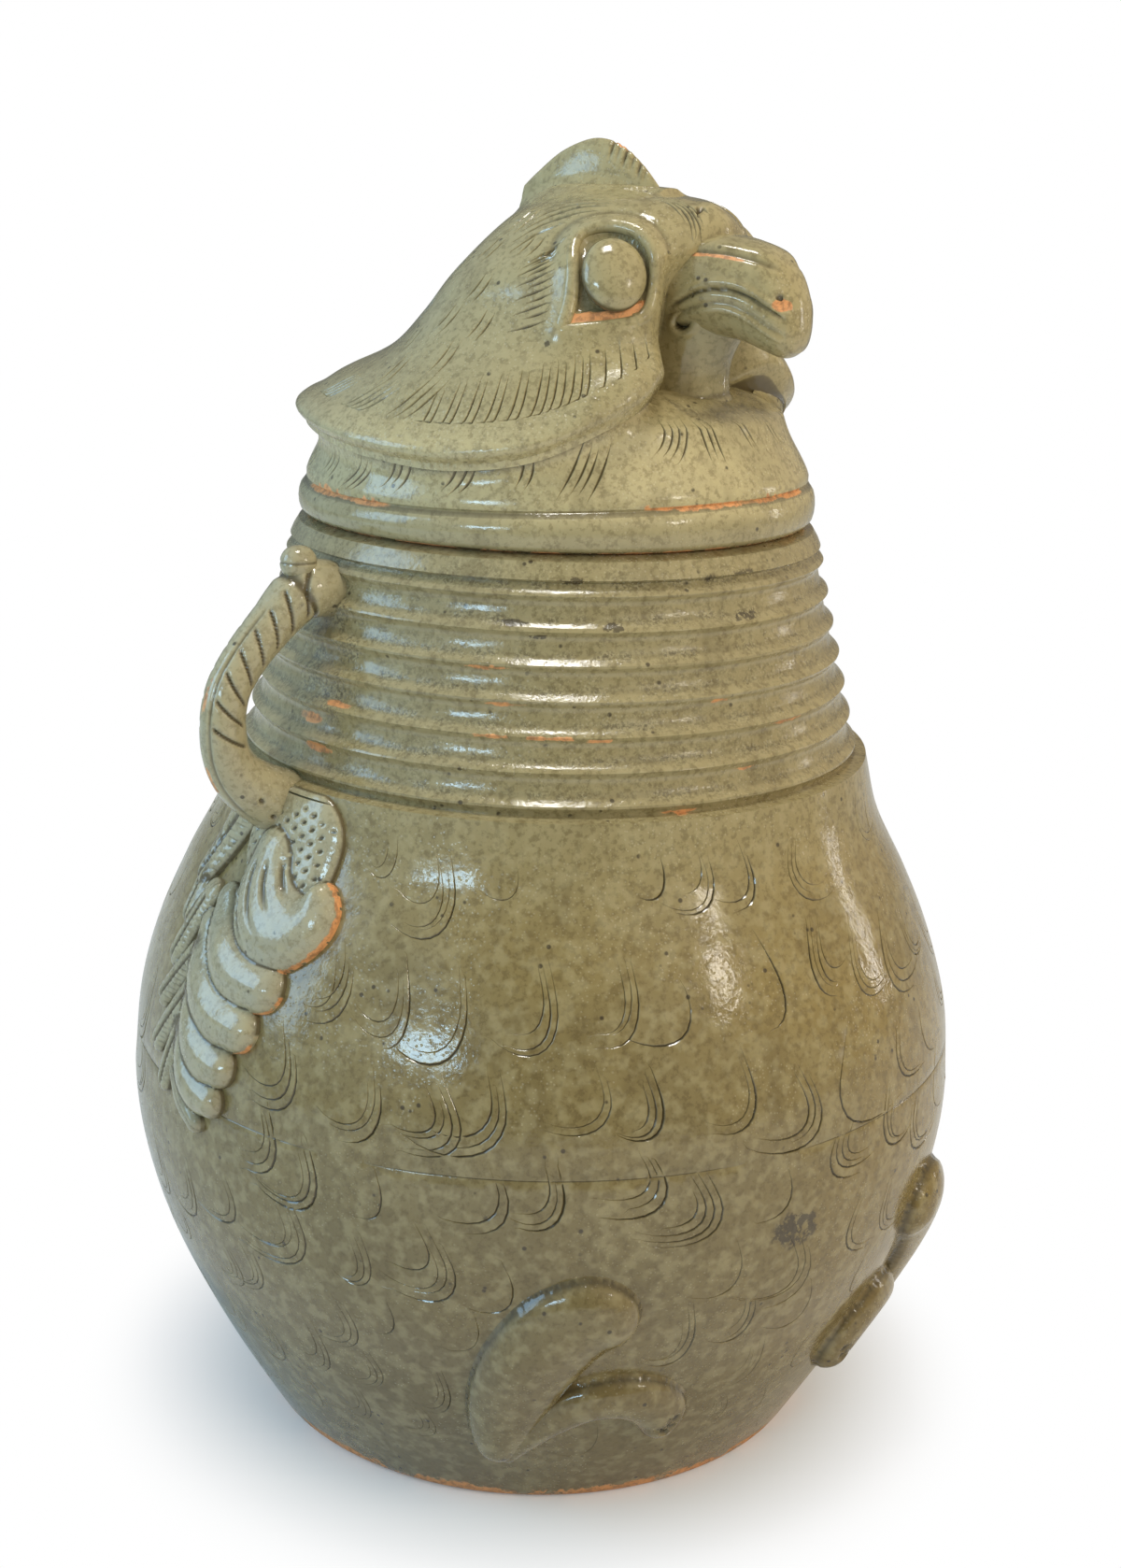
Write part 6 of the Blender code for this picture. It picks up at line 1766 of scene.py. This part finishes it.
def glaze(name, warm, cool, deep, pooled_and_shaded):
    """A green ash glaze: drifts of tint, mottling, iron specks, pooled, ashy and worn places, and painted
    light and shade: a cool-to-warm side tint, a paler top and band, and darkened hollows and undersides.
    """
    mat = bpy.data.materials.new(name)
    n = Nodes(mat, "Object")
    drift = n.noise(8.0, 3.0, 0.6, 0.5)
    mottle = n.noise(46.0, 4.0, 0.62, 0.3)
    peel = n.noise(190.0, 2.0, 0.5)
    fine = n.noise(420.0, 3.0, 0.65)
    grain = n.noise(900.0, 3.0, 0.7)
    stretched = n.node("Mapping", {"Vector": n.coord, "Scale": DRIP_SCALE}).outputs[0]
    drips = n.noise(1.0, 3.0, 0.6, 0.2, stretched)
    specks = n.times(n.spread(n.cells(190.0), 0.10, 0.20, 1.0, 0.0), n.spread(n.noise(60.0, 2.0), 0.54, 0.60))
    pits = n.times(n.spread(n.cells(640.0), 0.16, 0.34, 1.0, 0.0), n.spread(n.noise(33.0, 3.0), 0.42, 0.58))
    ash = n.times(n.mark("ash"), n.spread(n.noise(110.0, 4.0, 0.7), 0.38, 0.60))
    iron = n.times(n.mark("iron"), n.spread(n.noise(260.0, 4.0, 0.7), 0.36, 0.60))
    kept = n.spread(n.noise(90.0, 4.0, 0.65), 0.42, 0.56, 0.55, 0.0)
    worn = n.spread(n.math("SUBTRACT", n.mark("wear"), kept, clamp=True), 0.25, 0.60)
    # Painted light on the lid's band, by height.
    band = n.times(n.spread(n.axis("Z"), *BAND_LIGHT_START), n.spread(n.axis("Z"), *BAND_LIGHT_END, 0.50, 0.0))
    # Painted light: the tint runs from cool on the bird's right to warm on its left, standing for the cool
    # and the warm light on those sides, mixed with a random drift.
    side = n.spread(n.axis("X"), -SIDE_LIGHT_TINT_REACH, SIDE_LIGHT_TINT_REACH)
    tint = n.plus(n.times(side, 0.60), n.times(n.spread(drift, 0.35, 0.65), 0.40))

    color = n.mix(tint, cool, warm)
    ashy = n.mix(n.spread(grain, 0.42, 0.58), POOLED_AND_SHADED, OLIVE_PALE)
    clay = n.mix(n.spread(fine, 0.40, 0.66, 0.0, 0.5), CLAY, IRON)
    for share, over in (
            (n.spread(n.axis("Z"), *DEEP_TINT_Z, 0.54, 0.10), deep),
            # Paler towards the top: partly painted light from above, partly thinner glaze.
            (n.spread(n.axis("Z"), *PALE_TINT_Z, 0.0, 0.46), OLIVE_PALE),
            (band, BAND_PAINTED_LIGHT),
            (n.spread(mottle, 0.48, 0.72, 0.0, 0.13), OLIVE_PALE),
            (n.spread(mottle, 0.28, 0.50, 0.14, 0.0), deep),
            (n.spread(drips, 0.52, 0.72, 0.0, 0.30), deep),
            (n.spread(fine, 0.46, 0.64, 0.0, 0.44), deep),
            (n.spread(peel, 0.44, 0.66, 0.0, 0.26), OLIVE_PALE),
            (n.times(specks, 0.80), IRON),
            (n.times(pits, 0.12), OLIVE_PALE),
            (n.times(ash, 0.62), ashy),
            # Darker where glaze pooled in cuts, and painted shade in creases, hollows and under overhangs.
            (n.times(n.spread(n.mark("pool"), 0.02, 0.70), 0.92), pooled_and_shaded),
            (n.spread(iron, 0.22, 0.60, 0.0, 0.72), IRON),
            (worn, clay)):
        color = n.mix(share, color, over)

    rough = n.plus(0.11, n.spread(mottle, 0.40, 0.75, 0.0, 0.08))
    for mark, amount in ((pits, 0.20), (ash, 0.22), (worn, 0.45)):
        rough = n.plus(rough, n.times(mark, amount), clamp=mark is worn)
    height = n.times(mottle, 0.30)
    for mark, amount in ((peel, 0.22), (fine, 0.10), (pits, -0.06), (n.times(ash, grain), 0.30)):
        height = n.plus(height, n.times(mark, amount))
    shader = n.tree.nodes["Principled BSDF"]
    n.link(color, shader.inputs["Base Color"])
    n.link(rough, shader.inputs["Roughness"])
    n.link(GLAZE_IOR, shader.inputs["IOR"])
    bump = n.node("Bump", {"Strength": 0.55, "Distance": BUMP_DISTANCE, "Height": height})
    n.link(bump.outputs[0], shader.inputs["Normal"])
    return mat


def direction(azimuth_deg, height_deg):
    """The way to a lamp or a glow, at an azimuth from the bird's breast and a height."""
    azimuth, rise = math.radians(azimuth_deg), math.radians(height_deg)
    return Vector((math.cos(rise) * math.sin(azimuth), -math.cos(rise) * math.cos(azimuth), math.sin(rise)))


def lamp(name, azimuth_deg, height_deg, size, radiance, tint, mirrored):
    """A soft studio lamp that faces the jar."""
    way = direction(azimuth_deg, height_deg)
    data = bpy.data.lights.new(name, "AREA")
    data.shape = "RECTANGLE"
    data.size, data.size_y = size
    data.energy = radiance * math.pi * size[0] * size[1]
    data.color = tint
    item = bpy.data.objects.new(name, data)
    item.location = Vector((0, 0, LAMP_AIM_Z)) + way * LAMP_DISTANCE
    item.rotation_euler = way.to_track_quat("Z", "Y").to_euler()
    item.visible_glossy = mirrored
    bpy.context.scene.collection.objects.link(item)


def pale_floor():
    """A floor that keeps the jar's shadow and fades out to white."""
    mesh = bpy.data.meshes.new("floor")
    corners = [(x * FLOOR_REACH, y * FLOOR_REACH, 0) for x, y in ((-1, -1), (1, -1), (1, 1), (-1, 1))]
    mesh.from_pydata(corners, [], [(0, 1, 2, 3)])
    floor = bpy.data.objects.new("floor", mesh)
    bpy.context.scene.collection.objects.link(floor)
    mat = bpy.data.materials.new("pale_floor")
    n = Nodes(mat, "Object")
    shader = n.tree.nodes["Principled BSDF"]
    shade = n.spread(n.noise(2.5, 3.0), 0.3, 0.7)
    darker = tuple(0.985 * part for part in FLOOR_COLOR)
    n.link(n.mix(shade, FLOOR_COLOR, darker), shader.inputs["Base Color"])
    n.link(n.spread(n.noise(120.0), 0.3, 0.7, 0.75, 0.85), shader.inputs["Roughness"])
    away = n.node("VectorMath", {0: n.coord}, operation="LENGTH").outputs["Value"]
    seen = n.times(n.node("LightPath").outputs["Is Camera Ray"], n.spread(away, *FLOOR_FADE))
    fade = n.node("MixShader", {0: seen, 1: shader.outputs[0], 2: n.node("Emission").outputs[0]})
    n.link(fade.outputs[0], n.tree.nodes["Material Output"].inputs["Surface"])
    mesh.materials.append(mat)


def surround():
    """A dim surround with two soft glows, which the camera sees as white."""
    world = bpy.data.worlds.new("surround")
    bpy.context.scene.world = world
    n = Nodes(world, "Generated")
    shade = tuple(WORLD_LEVEL * part for part in WORLD_TINT)
    for azimuth_deg, height_deg, level, tint in GLOWS:
        way = direction(azimuth_deg, height_deg)
        toward = n.node("VectorMath", {0: n.coord, 1: way}, operation="DOT_PRODUCT").outputs["Value"]
        near = n.spread(toward, GLOW_START, 1.0, kind="SMOOTHERSTEP")
        shade = n.mix(near, shade, tuple(level * part for part in tint))
    soft = n.tree.nodes["Background"]
    n.link(shade, soft.inputs["Color"])
    bright = n.node("Background", {"Color": (1.0, 1.0, 1.0)})
    seen = n.node("LightPath").outputs["Is Camera Ray"]
    blend = n.node("MixShader", {0: seen, 1: soft.outputs[0], 2: bright.outputs[0]})
    n.link(blend.outputs[0], n.tree.nodes["World Output"].inputs["Surface"])


def camera():
    """The photo's view: from the right of the breast, a little above, upright format."""
    yaw, pitch, roll = (math.radians(a) for a in (CAMERA_YAW_DEG, CAMERA_PITCH_DEG, CAMERA_ROLL_DEG))
    ahead = Vector((math.sin(yaw) * math.cos(pitch), math.cos(yaw) * math.cos(pitch), -math.sin(pitch)))
    right = Vector((math.cos(yaw), -math.sin(yaw), 0))
    up = right.cross(ahead)
    level = right * math.cos(roll) + up * math.sin(roll)
    upright = up * math.cos(roll) - right * math.sin(roll)
    stand = Matrix.Rotation(math.radians(CAMERA_TURN_DEG), 4, "Z")
    stand = stand @ Matrix.Translation((0, -CAMERA_BACK, CAMERA_UP))
    data = bpy.data.cameras.new("camera")
    data.sensor_width = SENSOR
    data.sensor_fit = "AUTO"
    data.lens = FOCAL_PIXELS / FRAME_HEIGHT * SENSOR
    data.clip_start = 0.01
    item = bpy.data.objects.new("camera", data)
    item.matrix_world = stand @ Matrix((level, upright, -ahead)).transposed().to_4x4()
    bpy.context.scene.collection.objects.link(item)
    bpy.context.scene.camera = item


def main():
    """Dress every node of the frame, then set the studio and the camera."""
    body_glaze = glaze("celadon_on_the_jar", *JAR_GLAZE, POOLED_AND_SHADED)
    lid_glaze = glaze("celadon_on_the_lid", *LID_GLAZE, POOLED_AND_SHADED_LID)
    thin_glaze = glaze("thin_celadon", *THIN_GLAZE, POOLED_AND_SHADED_LID)
    jar_body(body_glaze)
    planes = []
    for label, side in (("right", -1), ("left", 1)):
        wing(side, label, thin_glaze)
        limb("thigh_" + label, side, THIGH_SHARES, THIGH_HALF_WIDTH, THIGH_RELIEF, body_glaze)
        limb("shin_" + label, side, SHIN_SHARES, SHIN_HALF_WIDTH, SHIN_RELIEF, body_glaze)
        handle(side, label, thin_glaze)
        bud(side, label, thin_glaze)
        planes.append(EyePlane(side))
        eye(planes[-1], label, lid_glaze)
        eyelid(planes[-1], label, lid_glaze)
    lid_collar(lid_glaze)
    head(lid_glaze, planes)
    crest(lid_glaze)
    beak(lid_glaze)
    throat(lid_glaze)
    pale_floor()
    surround()
    for values in LAMPS:
        lamp(*values)
    camera()
    bpy.context.scene.view_settings.view_transform = "Standard"


main()
bpy.context.view_layer.update()
